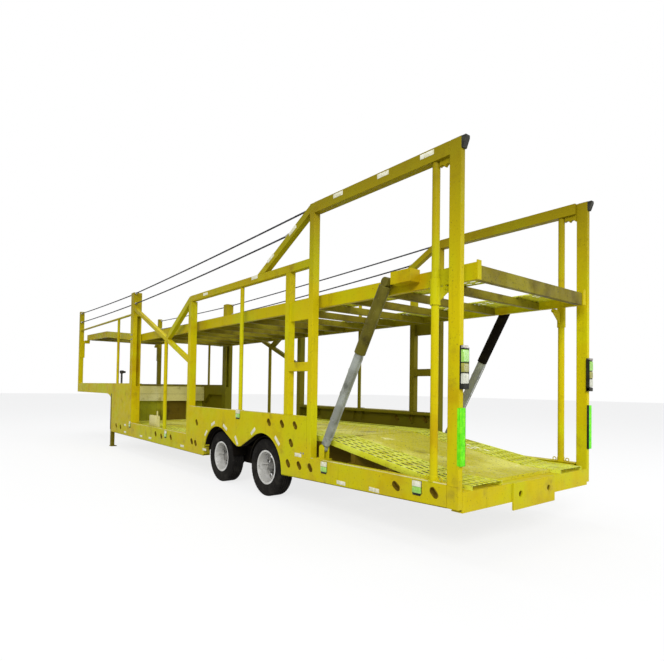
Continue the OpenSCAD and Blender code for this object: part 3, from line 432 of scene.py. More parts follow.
# brown grime on the slot rims, and painted shade inside the slot pockets and tow hole sleeves
slot_grime_and_shade = material("slot_brown_grime_and_painted_shade", (0.125, 0.078, 0.005), 0.75,
    shades=[((0.2, 0.135, 0.01), 14.0, 0.44, 0.64)], bump=0.0008, gloss=0.04)
# black of the mudguards, arch liner and dust shields, and painted shade on the right lift cylinder's rod
black_guard_and_shade = material("black_arch_and_painted_shade", (0.008, 0.0065, 0.005), 0.8,
    shades=[((0.018, 0.015, 0.009), 5.0, 0.46, 0.68)], bump=0.0006, gloss=0.02)
bare_steel = material("bare_worn_steel", (0.36, 0.35, 0.33), 0.38, metallic=0.85,
    shades=[((0.24, 0.22, 0.19), 6.0, 0.45, 0.68)], speck=((0.14, 0.08, 0.04), 70.0, 0.62, 0.74), rust=0.8,
    bump=0.0004, gloss=0.5)
cylinder_grey = material("cylinder_grey_paint", (0.23, 0.24, 0.205), 0.4,
    shades=[((0.34, 0.36, 0.32), 4.0, 0.46, 0.62), ((0.11, 0.115, 0.09), 7.0, 0.54, 0.72)],
    speck=((0.08, 0.08, 0.06), 80.0, 0.64, 0.74), rust=0.5, bump=0.0004, coat=0.15,
    edge=((0.42, 0.42, 0.4), 0.004), streaks=0.5, gloss=0.4)
rim_paint = material("rim_pale_grey_paint", (0.6, 0.59, 0.55), 0.34, metallic=0.2,
    shades=[((0.74, 0.73, 0.7), 7.0, 0.42, 0.62), ((0.34, 0.33, 0.28), 11.0, 0.56, 0.74)],
    speck=((0.13, 0.11, 0.08), 90.0, 0.62, 0.74), rust=0.4, bump=0.0004, gloss=0.5)
# a darker copy of the rims' grey: painted shade on the disc, deep in the wheel's dish
painted_shade_disc_grey = material("wheel_disc_painted_shade_grey", (0.27, 0.265, 0.24), 0.36, metallic=0.2,
    shades=[((0.42, 0.41, 0.38), 9.0, 0.44, 0.62), ((0.12, 0.115, 0.095), 13.0, 0.54, 0.72)],
    speck=((0.1, 0.085, 0.06), 90.0, 0.62, 0.74), rust=0.5, bump=0.0004, gloss=0.4)
hub_paint = material("hub_grimy_grey_paint", (0.115, 0.112, 0.1), 0.5, metallic=0.3,
    shades=[((0.22, 0.21, 0.19), 12.0, 0.44, 0.62), ((0.04, 0.036, 0.03), 20.0, 0.52, 0.74)], rust=0.7,
    bump=0.0005, gloss=0.4)
rubber = material("tyre_rubber", (0.013, 0.012, 0.011), 0.82,
    shades=[((0.026, 0.024, 0.021), 8.0, 0.46, 0.68)], speck=((0.05, 0.045, 0.036), 120.0, 0.6, 0.72),
    dust=((0.1, 0.09, 0.07), 0.0, 0.4, 0.1), bump=0.0005, bump_scale=420.0, gloss=0.04)
cable_black = material("wire_rope_black", (0.034, 0.034, 0.042), 0.5, metallic=0.3,
    shades=[((0.085, 0.085, 0.1), 9.0, 0.46, 0.66)], bump=0.0003, bump_scale=500.0)


def lens_paint(name, colour, shade, rough=0.18):
    """A glossy lamp lens."""
    return material(name, colour, rough, shades=[(shade, 30.0, 0.44, 0.62)], coat=0.5, gloss=0.5)


lens_green = lens_paint("lens_green", (0.26, 0.58, 0.05), (0.36, 0.66, 0.1))
lens_olive = lens_paint("lens_olive", (0.28, 0.27, 0.012), (0.36, 0.35, 0.03), 0.2)
lens_clear = lens_paint("lens_pale", (0.66, 0.66, 0.54), (0.52, 0.53, 0.42))
housing = material("lamp_housing_black", (0.02, 0.02, 0.014), 0.5,
    shades=[((0.04, 0.04, 0.03), 14.0, 0.46, 0.66)], bump=0.0003, bump_scale=400.0)
tape_pale = material("reflective_tape_pale", (0.7, 0.68, 0.46), 0.3,
    shades=[((0.82, 0.81, 0.66), 20.0, 0.44, 0.6), ((0.48, 0.44, 0.22), 45.0, 0.56, 0.7)], coat=0.3,
    gloss=0.5)
tape_green = material("reflective_tape_green", (0.13, 0.76, 0.004), 0.3,
    shades=[((0.22, 0.86, 0.01), 18.0, 0.44, 0.62), ((0.06, 0.52, 0.005), 40.0, 0.58, 0.72)], coat=0.05,
    gloss=0.15)

# ---- tracks and decks ------------------------------------------------------------

def height(line, x):
    """The height of a bent [x, z] line at x."""
    return np.interp(x, line[:, 0], line[:, 1])


def line_with(line, step):
    """A bent line with points added at most a step apart, so that what follows it bends where it does."""
    x = np.unique(np.concatenate([line[:, 0], np.arange(line[0, 0], line[-1, 0], step)]))
    return np.stack([x, height(line, x)], -1)


def slotted_strip(line, y0, y1, pitch, slot, thick, lip, ribs):
    """A pressed track: each cell of a grid along the top line has an oblong hole. A ring of points runs
    from the hole's edge to the cell's edge, and the hole has a wall down to the underside. The height is
    read off the line at each x, plus ribs * cos(column) between the rows of holes. Folded edges hang
    down by lip along both sides."""
    columns = 6
    x0, x1 = line[0, 0], line[-1, 0]
    rows = max(1, int(round((x1 - x0) / pitch)))
    dx, dy = (x1 - x0) / rows, (y1 - y0) / columns
    n = 12
    a = (np.arange(n) + 0.5) * TAU / n
    long, half = slot[0] - slot[1], slot[1] / 2
    hole = np.stack([np.sign(np.cos(a)) * long / 2 + half * np.cos(a), half * np.sin(a)], -1)
    reach = np.minimum(dx / 2 / np.maximum(np.abs(np.cos(a)), 1e-9),
        dy / 2 / np.maximum(np.abs(np.sin(a)), 1e-9))
    outer = np.stack([reach * np.cos(a), reach * np.sin(a)], -1)
    corner = np.argmin(np.abs((a[:, None] - np.array([0.25, 0.75, 1.25, 1.75]) * math.pi)), 0)
    outer[corner] = np.array([[dx, dy], [-dx, dy], [-dx, -dy], [dx, -dy]]) / 2
    cx, cy = np.meshgrid(x0 + dx * (np.arange(rows) + 0.5), y0 + dy * (np.arange(columns) + 0.5),
        indexing="ij")
    centres = np.stack([cx.ravel(), cy.ravel()], -1)

    def level(flat, drop):
        z = height(line, flat[..., 0]) - drop
        z = z + ribs * (np.cos((flat[..., 1] - y0) / dy * TAU) - 1) / 2 * (drop < thick)
        return np.concatenate([flat, z[..., None]], -1)

    rings = [level(centres[:, None] + ring, drop)
        for ring, drop in ((outer, 0), (hole, 0), (hole, thick), (outer, thick))]
    parts = [(np.stack(rings, 1).reshape(-1, 3), cell_faces(len(centres), 4, n))]
    for y, out in ((y0, -1), (y1, 1)):
        fold = [[0, 0], [0, -lip], [thick * out, -lip], [thick * out, 0]]
        parts.append(swept(xyz(line[:, 0], y, line[:, 1]), fold))
    return parts


def top_line(rear_x, drop):
    """The lower deck's line from a place at its rear: up the ramp, level over the wheels, and down into
    the well, all of it lowered by drop."""
    line = np.array([[rear_x, 0.66], [at(450), 0.66], [at(2200), 0.925], [at(5300), 0.925],
        [at(5900), 0.625], [at(10436), 0.625]])
    return line - [0, drop]


LOWER_LINE, CENTRE_LINE = top_line(at(0), 0.0), top_line(at(120), 0.01)
lower = slotted_strip(line_with(LOWER_LINE, 0.6), TRACK_IN, TRACK_OUT, 0.145, (0.1, 0.026), 0.006, 0.045,
    0.009)
ramp_x = at([130, 450, 1000, 1600, 2200, 2700])
ramp_edge = xyz(ramp_x, TRACK_OUT + 0.002, height(LOWER_LINE, ramp_x) - 0.034)
lower.append(swept(ramp_edge, soft_box(0.006, 0.068, 0.002)))
pair("lower_track_plates", lower, track_paint, ("lower_tracks",))

REAR_TOP = np.array([[at(-26), 2.634], [at(8955), 2.634]])
FRONT_TOP = line_with(np.array([[at(9125), 2.644], [at(11800), 2.914], [at(13765), 2.9524]]), 0.7)
for deck, line in (("rear", REAR_TOP), ("front", FRONT_TOP)):
    track = slotted_strip(line, UPPER_IN, UPPER_OUT, 0.105, (0.066, 0.02), 0.004, 0.013, 0.004)
    pair(f"{deck}_deck_plates", track, track_paint, (f"{deck}_deck_tracks",),
        body=f"{deck}_deck")


def tread_studs(line, y0, y1, pitch, size):
    """Raised studs of a tread plate: lens shapes on a staggered grid, turned one way and the other in
    turn. Each is a ring of 8 points and a raised ring of 4."""
    xs = np.arange(line[0, 0] + pitch, line[-1, 0] - pitch, pitch)
    ys = np.arange(y0 + pitch / 2, y1 - pitch / 2, pitch)
    gx, gy = (g.ravel()[:, None] for g in np.meshgrid(xs, ys, indexing="ij"))
    turn = ((np.arange(len(xs))[:, None] + np.arange(len(ys))[None]) % 2 * 2 - 1) * math.pi / 4
    c, s = np.cos(turn).ravel()[:, None], np.sin(turn).ravel()[:, None]
    rings = []
    for ring, up in ((circle(size, 8) * [1, 0.36], 0.0), (circle(size, 4) * [0.6, 0.16], 0.0035)):
        x, y = gx + ring[:, 0] * c - ring[:, 1] * s, gy + ring[:, 0] * s + ring[:, 1] * c
        rings.append(xyz(x, y, height(line, x) + up))
    one = []
    for i in range(4):
        here, ahead = 8 + i, 8 + (i + 1) % 4
        p, q, r = 2 * i, 2 * i + 1, (2 * i + 2) % 8
        one += [(p, q, here), (q, ahead, here), (q, r, ahead)]
    starts = np.arange(len(gx))[:, None] * 12
    faces = (starts[..., None] + np.array(one)).reshape(-1, 3).tolist() + (starts + [8, 9, 10, 11]).tolist()
    return np.concatenate(rings, 1).reshape(-1, 3), faces


centre_fine = line_with(CENTRE_LINE, 0.5)
plate_middle = xyz(centre_fine[:, 0], 0.0, centre_fine[:, 1] - 0.0175)
centre_parts = [swept(plate_middle, soft_box(1.14, 0.035, 0.003)),
    tread_studs(CENTRE_LINE, -0.56, 0.56, 0.062, 0.019)]
for x in at([440, 2190, 3750, 5290, 7400, 8900]) - 0.012:
    seam = xyz(x, [-0.565, 0.565], height(CENTRE_LINE, x) + 0.001)
    centre_parts.append(swept(seam, soft_box(0.05, 0.004, 0.0015)))
piece("centre_tread_plate", centre_parts, floor_paint, "frame", ("centre_floor",), 7)

# ---- posts, rails, sills ------------------------------------------------------------

for node in ("corner_posts", "round_posts", "ladder_frames", "middle_posts", "top_rails", "waist_rails",
        "long_braces", "neck_sides"):
    softened(node, frame_paint, bevel=0.006)
for node in ("rear_beam", "tow_plate", "cylinder_feet"):
    softened(node, frame_paint, bevel=0.003)
softened("neck_floor", deck_paint, bevel=0.003)
softened("coupler", bare_steel, bevel=0.002)
softened("landing_legs", deck_paint)
SHAFT_END, SHAFT_R = 1.0645, 0.0297
shaft = [[0.0, -SHAFT_END], [0.028, -SHAFT_END], [SHAFT_R, -1.0628]]
shaft += [[r, -along] for r, along in shaft[::-1]]
piece("deck_shaft_look", [turned(shaft, HINGE, n=64)], bare_steel, "frame", ("deck_shaft",))
# the cross members' dark brown is painted shade under the decks
softened("cross_members", painted_shade_brown)
for deck in ("rear", "front"):
    softened(f"{deck}_deck_frame", frame_paint, f"{deck}_deck", bevel=0.005)
    softened(f"{deck}_deck_crosses", deck_paint, f"{deck}_deck")
for end in ("rear", "front"):
    softened(f"{end}_guides", frame_paint, f"{end}_guide_pair", bevel=0.002)
# the right rod's black is painted shade; the left one's dark olive is its cover's colour
for side_name, rod_paint in (("left", sleeve_paint), ("right", black_guard_and_shade)):
    softened(f"cylinder_barrel_{side_name}", cylinder_grey, f"barrel_{side_name}", 0.002)
    softened(f"cylinder_rod_{side_name}", rod_paint, f"rod_{side_name}", bevel=0.002)

BETWEEN_LENGTHS = 4000          # sill slots up to here are in the sill's rear length
# tie-down slots: millimetres ahead, middle height, and lean in degrees
SILL_SLOTS = ((272, 0.575, 45), (752, 0.562, 55), (2186, 0.555, 40), (2416, 0.552, 40), (2660, 0.548, 40),
    (5484, 0.545, 40), (5642, 0.56, 40), (6592, 0.55, 40), (7076, 0.53, 40), (7389, 0.55, 40),
    (9694, 0.53, 40), (10033, 0.545, 40))
PANEL_SLOTS = ((2518, 1.045, 40), (2815, 1.045, 40), (3135, 1.045, 40), (2600, 0.815, 35), (5450, 0.9, 35))
SLOT_W, SLOT_L = 0.058, 0.108
SILL_TOP, SILL_FRONT_LOW, PANEL_TOP = 0.668, 0.365, 1.165
SILL_REAR, SILL_FRONT = at(130), at(10450)
PANEL_REAR, PANEL_FRONT = at(2274.5), at(5781)
ARCH_R, ARCH_Z = 0.5, 0.39
ARCH_FOOT = math.asin((SILL_TOP - ARCH_Z) / ARCH_R)
REAR_ARCH, FRONT_ARCH = at(3310), at(4670)
ARCH_MID = (REAR_ARCH + FRONT_ARCH) / 2
TIP_HALF, TIP_Z, TIP_LOW = 0.08, 0.655, 0.641


def sill_height(x):
    """Height of a sill's underside: it falls from 460 mm at the rear to 365 mm at the rear axle."""
    return np.interp(x, at([130, 3360]), [0.46, SILL_FRONT_LOW])


def arch_edge(centre, start, end, n=20):
    """Points of a wheel arch between two angles: centre + ARCH_R * (cos, sin)."""
    a = np.linspace(start, end, n)
    return np.stack([centre + ARCH_R * np.cos(a), ARCH_Z + ARCH_R * np.sin(a)], -1)


def double_arch(foot):
    """The panel's lower edge over both wheels, from behind the rear one to ahead of the front one. Each
    arch is part of a circle from the angle foot to the angle where a line to the blunt tip between the
    wheels touches it: atan(rise / reach) + acos(radius / distance) of the tip as seen from its middle."""
    reach, rise = ARCH_MID - TIP_HALF - REAR_ARCH, TIP_Z - ARCH_Z
    touch = math.atan2(rise, reach) + math.acos(ARCH_R / math.hypot(reach, rise))
    tip = [[ARCH_MID + u * TIP_HALF, TIP_LOW + (TIP_Z - TIP_LOW) * abs(u) ** 2.5]
        for u in np.linspace(-1, 1, 9)]
    return np.concatenate([arch_edge(REAR_ARCH, math.pi - foot, touch), tip,
        arch_edge(FRONT_ARCH, math.pi - touch, foot)])


def slot_holes(table, more=0.0):
    """The outlines of a table's tie-down slots, each larger than the slot by more."""
    return [oblong(at(d), z, SLOT_W + more, SLOT_L + more, lean) for d, z, lean in table]


def slot_rims(table):
    """A rolled rim round each tie-down slot."""
    return [swept(xyz(hole[:, 0], HALF_W - 0.0005, hole[:, 1]), circle(0.006, 6), (0, 1, 0), True)
        for hole in slot_holes(table)]


def slot_pockets(table, depth):
    """Each slot's pocket: its outline carried inwards, shrinking by a tenth, and closed at the back."""
    parts = []
    for row, mouth in zip(table, slot_holes(table, 0.002)):
        middle = np.array([at(row[0]), row[1]])
        back = middle + (mouth - middle) * 0.9
        points = np.concatenate([xyz(mouth[:, 0], HALF_W - 0.004, mouth[:, 1]),
            xyz(back[:, 0], HALF_W - depth, back[:, 1])])
        n = len(mouth)
        parts.append((points, grid_faces(2, n, False, True).tolist() + [list(range(n, 2 * n))]))
    return parts


def sill_parts():
    """One left sill: an outer web with slots, an inner web, a top flange and a bottom flange, in two
    lengths that stop at the wheel arches."""
    rear_arc = arch_edge(REAR_ARCH, math.pi, math.pi - ARCH_FOOT, 8)
    front_arc = arch_edge(FRONT_ARCH, ARCH_FOOT, 0.0, 8)
    rear_foot, front_foot = REAR_ARCH - ARCH_R, FRONT_ARCH + ARCH_R
    rear_outline = np.concatenate([[[SILL_REAR, 0.46], [rear_foot, sill_height(rear_foot)]], rear_arc,
        [[SILL_REAR, SILL_TOP]]])
    front_outline = np.concatenate([front_arc, [[front_foot, SILL_FRONT_LOW], [SILL_FRONT, SILL_FRONT_LOW],
        [SILL_FRONT, SILL_TOP]]])
    parts = []
    for outline, ahead in ((rear_outline, False), (front_outline, True)):
        holes = slot_holes([row for row in SILL_SLOTS if (row[0] > BETWEEN_LENGTHS) == ahead])
        parts.append(plate(outline, holes, HALF_W - 0.008, HALF_W))
        parts.append(plate(outline, [], SILL_IN, SILL_IN + 0.008))
    for ends in ((SILL_REAR, rear_arc[-1, 0]), (front_arc[0, 0], SILL_FRONT)):
        parts.append(slab(ends, (SILL_IN, HALF_W - 0.001), (0.659, SILL_TOP), 0.002))
    for ends in ((SILL_REAR, rear_foot), (front_foot, SILL_FRONT)):
        x = np.linspace(*ends, 12)
        parts.append(swept(xyz(x, SILL_MID, sill_height(x) + 0.0045),
            soft_box(HALF_W - SILL_IN, 0.009, 0.002)))
    for arc in (rear_arc, front_arc):
        parts.append(swept(xyz(arc[:, 0], SILL_MID, arc[:, 1]),
            soft_box(HALF_W - SILL_IN - 0.004, 0.007, 0.002), (1, 0, 0.2)))
    return parts


def panel_parts():
    """One left wheel panel: a plate with slots and the double arch, a ledge over the wheels with a
    turned-down edge, and stiffeners behind the plate."""
    ends, back = (PANEL_REAR, PANEL_FRONT), HALF_W - 0.01
    outline = np.concatenate([[[PANEL_REAR, SILL_TOP]], double_arch(ARCH_FOOT),
        [[PANEL_FRONT, SILL_TOP], [PANEL_FRONT, PANEL_TOP], [PANEL_REAR, PANEL_TOP]]])
    parts = [plate(outline, slot_holes(PANEL_SLOTS), back, HALF_W),
        slab(ends, (SILL_IN, back), (1.153, PANEL_TOP), 0.003),
        slab(ends, (SILL_IN, SILL_IN + 0.01), (1.12, 1.155), 0.003)]
    parts += [slab((x - 0.004, x + 0.004), (HALF_W - 0.06, back), (0.98, 1.155), 0.002)
        for x in at([2330, 2760, 3960, 4180, 5250, 5720])]
    return parts


pair("sill_channels", sill_parts(), frame_paint, stands_for=("sills",), smooth=30)
pair("wheel_panel_plates", panel_parts(), frame_paint, stands_for=("wheel_panels",), smooth=30)
# the pockets' dark brown is painted shade inside the slots; the rims' brown is grime
pockets = slot_pockets(SILL_SLOTS, 0.026) + slot_pockets(PANEL_SLOTS, 0.024)
pair("slot_pockets_and_rims", pockets + slot_rims(SILL_SLOTS + PANEL_SLOTS), slot_grime_and_shade)

LIP_Y = HALF_W - 0.008
arch = double_arch(0.0)
top_lips = []
# the lips' pale colour is a painted highlight along the top edges
for d0, d1, z in ((135, 2180, SILL_TOP), (5900, 8947, SILL_TOP), (2790, 5781, PANEL_TOP)):
    x = np.linspace(at(d0), at(d1), 24)
    top_lips.append(swept(xyz(x, LIP_Y, z + 0.002 + 0.0012 * np.sin(x * 3.1)), circle(0.007, 10)))
pair("sill_and_panel_lips", top_lips, painted_highlight_pale)
pair("arch_lips", [swept(xyz(arch[:, 0], LIP_Y, arch[:, 1]), soft_box(0.013, 0.02, 0.005), (0, 1, 0))],
    frame_paint)
SLEEVE = [[0.0325, 0.0], [0.038, 0.0], [0.038, 0.095], [0.0325, 0.095], [0.0325, 0.0]]
# the tow holes' dark brown sleeves are painted shade inside the holes
pair("tow_hole_sleeves", [turned(SLEEVE, [REAR_X + 0.001, 0.273, 0.5], (1, 0, 0), 28)], slot_grime_and_shade)


def mudguard_parts():
    """Guards over both wheels of a side: an arc of sheet with turned-in edges, a flap that hangs between
    the wheels and a wall above them. A dark liner follows the panel's double arch inwards."""
    radius = 0.44
    section = [[-0.13, -0.018], [-0.13, 0.0], [0.105, 0.0], [0.105, -0.018], [0.101, -0.018],
        [0.101, -0.004], [-0.126, -0.004], [-0.126, -0.018]]
    a = np.linspace(math.radians(172), math.radians(8), 28)
    parts = [swept(xyz(at(d) + radius * np.cos(a), 1.03, HUB_Z + radius * np.sin(a)), section)
        for d in AXLES]
    middle = at(4040)
    for ends, z in (((middle - 0.32, middle + 0.44), (0.33, 0.83)),
            ((REAR_ARCH - 0.46, FRONT_ARCH + 0.46), (0.6, 0.93))):
        parts.append(slab(ends, (0.9, 0.906), z, 0.002))
    parts.append(swept(xyz(arch[:, 0], SILL_MID - 0.006, arch[:, 1] - 0.004), soft_box(0.004, 0.104, 0.001),
        (0, 1, 0)))
    return parts


pair("mudguards", mudguard_parts(), black_guard_and_shade)

# ---- wire ropes along the guard ---------------------------------------------------

# millimetres ahead and height of both ends, and sag; the first two run behind the main post
ROPES = ((2290, 3.7554, 8947.5, 3.595, 0.018), (2760, 3.535, 8947.5, 3.36, 0.024),
    (9132.5, 3.59, 13885, 3.655, 0.012), (9132.5, 3.36, 13885, 3.385, 0.012))
ROPE_Y, ROPE_R, LAY = 1.212, 0.013, 0.11


def wire_rope(p, q, sag):
    """A laid rope: its section ROPE_R * (0.84 + 0.16 |cos(3a)|) turns once in each LAY along a line that
    sags by 4 * sag * t * (1 - t)."""
    length = np.linalg.norm(q - p)
    t = np.linspace(0, 1, int(length / LAY * 7))
    line = p + t[:, None] * (q - p)
    line[:, 2] -= 4 * sag * t * (1 - t)
    a = np.arange(12) * TAU / 12
    lobes = ROPE_R * (0.84 + 0.16 * np.abs(np.cos(a * 3)))
    return swept(line, np.stack([lobes * np.cos(a), lobes * np.sin(a)], -1), turn=t * length / LAY * TAU)


def rope_end(p, along):
    """A rope's end fitting: a sleeve and a collar along the rope."""
    r = 0.019
    return [turned([[0, 0], [r, 0.004], [r, 0.085], [r * 0.8, 0.095], [0, 0.095]], p, along, 14),
        turned([[r * 0.9, 0.02], [r * 1.35, 0.024], [r * 1.35, 0.044], [r * 0.9, 0.048]], p, along, 14)]


ropes, fittings = [], []
for d0, z0, d1, z1, sag in ROPES:
    p, q = np.array([at(d0), ROPE_Y, z0]), np.array([at(d1), ROPE_Y, z1])
    ropes.append(wire_rope(p, q, sag))
    fittings += rope_end(p, q - p) + rope_end(q, p - q)
pair("guard_wire_ropes", ropes, cable_black, ("guard_cables",), 60)
pair("rope_end_fittings", fittings, bare_steel)

# ---- wheels -------------------------------------------------------------------------

TYRE_Y, HUB_Y = 1.0525, 0.9675
NUTS, CAP_SCREWS, HAND_HOLES = 10, 6, 10
TYRE_SIDE = np.array([[0.089, 0.224], [0.0895, 0.24], [0.098, 0.252], [0.1085, 0.266], [0.1135, 0.274],
    [0.117, 0.29], [0.1175, 0.31], [0.1168, 0.314], [0.1175, 0.318], [0.115, 0.338], [0.1115, 0.356],
    [0.106, 0.375], [0.099, 0.3885], [0.092, 0.3955], [0.083, 0.3975]])


def tyre(centre):
    """A tyre's outer shell turned about Y: crown, shoulders, sidewalls with raised rings and beads. The
    crown is cut by four grooves, of which the outer two zigzag, and by small sipes across the ribs."""
    across, radius = TYRE_SIDE[:, 0], TYRE_SIDE[:, 1]
    crown = np.linspace(-0.078, 0.078, 41)
    y = np.concatenate([-across, crown, across[::-1]])[None]
    r = np.concatenate([radius, HUB_Z - 0.1 * crown ** 2, radius[::-1]])[None]
    n = 192
    a = (np.arange(n) * TAU / n)[:, None]
    zig = 0.0035 * np.sign(np.sin(a * 48))
    lines = ((-0.052, 1.0), (-0.018, 0.4), (0.018, -0.4), (0.052, -1.0))
    grooves = np.max([np.abs(y - middle - share * zig) < 0.0046 for middle, share in lines], 0)
    sipes = (np.sin(a * 96) > 0.85) & (np.abs(y) < 0.08)
    blocks = (np.sin(a * 48) > 0.3) & (np.abs(y) > 0.082) & (np.abs(y) < 0.107)
    r = r - np.max([0.011 * grooves, 0.004 * sipes, 0.006 * blocks], 0)
    points = xyz(centre[0] + r * np.cos(a), centre[1] + y, centre[2] + r * np.sin(a))
    return points.reshape(-1, 3), grid_faces(n, y.size, True, True)


def holed_disc(centre, side, y, r0, r1, hole_r, hole_at, thick, cone):
    """A coned disc with a ring of round holes: each sector has rings of points from its hole's edge out
    to the sector's own edge, the hole's wall runs through the thickness, and y grows by cone * (r - r0)."""
    n = 16
    b = (np.arange(n) + 0.5) * TAU / n
    du, dv = np.cos(b), np.sin(b)
    t = np.minimum(1 / np.maximum(np.abs(du), 1e-9), 1 / np.maximum(np.abs(dv), 1e-9))
    sector = (r0 + r1) / 2 + (r1 - r0) / 2 * du * t, math.pi / HAND_HOLES * dv * t
    hx, hy = hole_at + hole_r * du, hole_r * dv
    hole = np.hypot(hx, hy), np.arctan2(hy, hx)
    middles = ((np.arange(HAND_HOLES) + 0.5) * TAU / HAND_HOLES)[:, None]
    rings = []
    for (r, turn), off in ((sector, thick / 2), (hole, thick / 2), (hole, -thick / 2),
            (sector, -thick / 2)):
        a = middles + turn[None]
        out = y + side * (off + cone * (r - r0))
        rings.append(xyz(centre[0] + r * np.cos(a), out, centre[2] + r * np.sin(a)))
    return np.stack(rings, 1).reshape(-1, 3), cell_faces(HAND_HOLES, 4, n)


def rim(centre, side):
    """A rim turned about Y from its section: two flanges, bead seats and a drop centre."""
    half = np.array([[0.198, 0.026], [0.212, 0.078], [0.215, 0.093], [0.2305, 0.0975], [0.238, 0.095],
        [0.238, 0.089], [0.2225, 0.0885], [0.2215, 0.08], [0.206, 0.03]])
    profile = np.concatenate([half[4:], (half * [1, -1])[::-1], half[:5]])
    return turned(profile * [1, side], centre, n=72)


def hub(centre, side):
    """A hub and its drum: a clamping face, nuts on studs, a stepped cap with screws, and the brake drum
    behind. Along the axis, 0 is the hub's middle and the disc's face is at 0.024."""
    def ring(profile, n=44):
        return turned(np.asarray(profile) * [1, side], centre, n=n)

    def spaced(count, r, y, start):
        for t in np.arange(count) * TAU / count + start:
            yield [centre[0] + r * math.cos(t), centre[1] + side * y, centre[2] + r * math.sin(t)]

    out = (0, side, 0)
    parts = [ring([[0.05, 0.006], [0.138, 0.006], [0.138, 0.028], [0.122, 0.032], [0.05, 0.032]]),
        ring([[0.05, -0.116], [0.158, -0.116], [0.163, -0.108], [0.163, -0.006], [0.158, 0.004],
        [0.05, 0.004]]),
        ring([[0.0, 0.03], [0.084, 0.03], [0.088, 0.034], [0.08, 0.066], [0.072, 0.076], [0.07, 0.098],
        [0.064, 0.106], [0.04, 0.112], [0.0, 0.114]], 36)]
    stud = [[0.0, 0.0], [0.0075, 0.0], [0.0075, 0.032], [0.0055, 0.035], [0.0, 0.035]]
    for p in spaced(NUTS, 0.1125, 0.03, TAU / 20):
        parts += bolt(p, out, 0.028) + [turned(stud, p, out, 8)]
    for p in spaced(CAP_SCREWS, 0.054, 0.107, 0.4):
        parts += bolt(p, out, 0.01, False)
    return parts


for row_name, x in zip(("rear", "front"), at(AXLES)):
    for side_name, side in SIDES:
        corner = f"{row_name}_{side_name}"
        body = f"wheels_{corner}"
        c = np.array([x, side * TYRE_Y, HUB_Z])
        stem = [[x + 0.158, side * 1.004, HUB_Z + 0.02], [x + 0.172, side * 1.03, HUB_Z + 0.02],
            [x + 0.182, side * 1.07, HUB_Z + 0.02], [x + 0.184, side * 1.105, HUB_Z + 0.02]]
        metal = [rim(c, side), swept(stem, circle(0.005, 8))]
        disc = holed_disc(c, side, c[1] - side * 0.062, 0.136, 0.2, 0.0265, 0.169, 0.01, 0.24)
        piece(f"tyres_{corner}_look", [tyre(c)], rubber, body, (f"tyres_{corner}",), 28)
        piece(f"rims_{corner}_look", metal, rim_paint, body, (f"rims_{corner}",))
        # the disc's darker grey is painted shade
        piece(f"wheel_disc_{corner}", [disc], painted_shade_disc_grey, body)
        piece(f"hub_{corner}", hub(np.array([x, side * HUB_Y, HUB_Z]), side), hub_paint, body)

# ---- springs and brakes -----------------------------------------------------------

SPRING_Y, SPRING_HALF = 0.47, 0.6


def leaf_pack(x):
    """A pack of five leaves: each is a flat strip that rises by 0.050 * (offset / SPRING_HALF)^2 towards
    its ends, shorter and lower than the one above it, with two bows and a plate over the axle."""
    parts = []
    for i in range(5):
        offset = np.linspace(-1, 1, 15) * SPRING_HALF * (1 - 0.15 * i)
        z = HUB_Z + 0.13 - 0.0125 * i + 0.05 * (offset / SPRING_HALF) ** 2
        parts.append(swept(xyz(x + offset, SPRING_Y, z), soft_box(0.07, 0.0115, 0.002)))
    for s in (-0.045, 0.045):
        leg = [[-0.045, -0.02], [-0.045, 0.165], [-0.035, 0.178]]
        bow = np.array(leg + [[-y, z] for y, z in leg[::-1]])
        parts.append(swept(xyz(x + s, SPRING_Y + bow[:, 0], HUB_Z + bow[:, 1]), circle(0.008, 8),
            (1, 0, 0)))
    parts.append(slab((x - 0.075, x + 0.075), (SPRING_Y - 0.052, SPRING_Y + 0.052),
        (HUB_Z + 0.16, HUB_Z + 0.176), 0.003))
    return parts


def hanger(x, top):
    """A spring hanger: two side plates that narrow downwards, with a cross bolt between them."""
    low = HUB_Z + 0.066
    outline = [[x - 0.06, top], [x - 0.034, low], [x + 0.034, low], [x + 0.06, top]]
    parts = [plate(outline, [], SPRING_Y + s - 0.005, SPRING_Y + s + 0.005) for s in (-0.033, 0.033)]
    for s in (1, -1):
        parts += bolt([x, SPRING_Y + s * 0.038, HUB_Z + 0.105], (0, s, 0), 0.022)
    parts.append(slab((x - 0.05, x + 0.05), (SPRING_Y - 0.03, SPRING_Y + 0.03), (top - 0.012, top), 0.002))
    return parts


springs = []
for x in at(AXLES):
    springs += leaf_pack(x)
for d, top in ((2680, 0.812), (4040, 0.812), (5400, 0.806)):
    springs += hanger(at(d), top)
I_SECTION = [[-0.06, -0.04], [0.06, -0.04], [0.06, -0.03], [0.006, -0.03], [0.006, 0.03], [0.06, 0.03],
    [0.06, 0.04], [-0.06, 0.04], [-0.06, 0.03], [-0.006, 0.03], [-0.006, -0.03], [-0.06, -0.03]]
springs.append(swept(xyz(at([2320, 5225]), SPRING_Y, 0.84), I_SECTION))
CHAMBER = [[0.0, 0.0], [0.06, 0.006], [0.074, 0.03], [0.074, 0.052], [0.08, 0.056], [0.08, 0.066],
    [0.074, 0.07], [0.074, 0.105], [0.055, 0.13], [0.0, 0.135]]
HALF_AXLE = [[0.0, 0.0], [0.0635, 0.0], [0.0635, 0.78], [0.15, 0.784], [0.15, 0.796], [0.0635, 0.8],
    [0.0635, 0.835], [0.044, 0.838], [0.044, 1.05], [0.0, 1.052]]
SHIELD = [[0.168, 0.915], [0.214, 0.915], [0.218, 0.919], [0.214, 0.923], [0.168, 0.923], [0.168, 0.915]]
springs += [turned(CHAMBER, [x + 0.09, 0.3, HUB_Z + 0.03], (0.85, 0, 0.35), 24) for x in at(AXLES)]
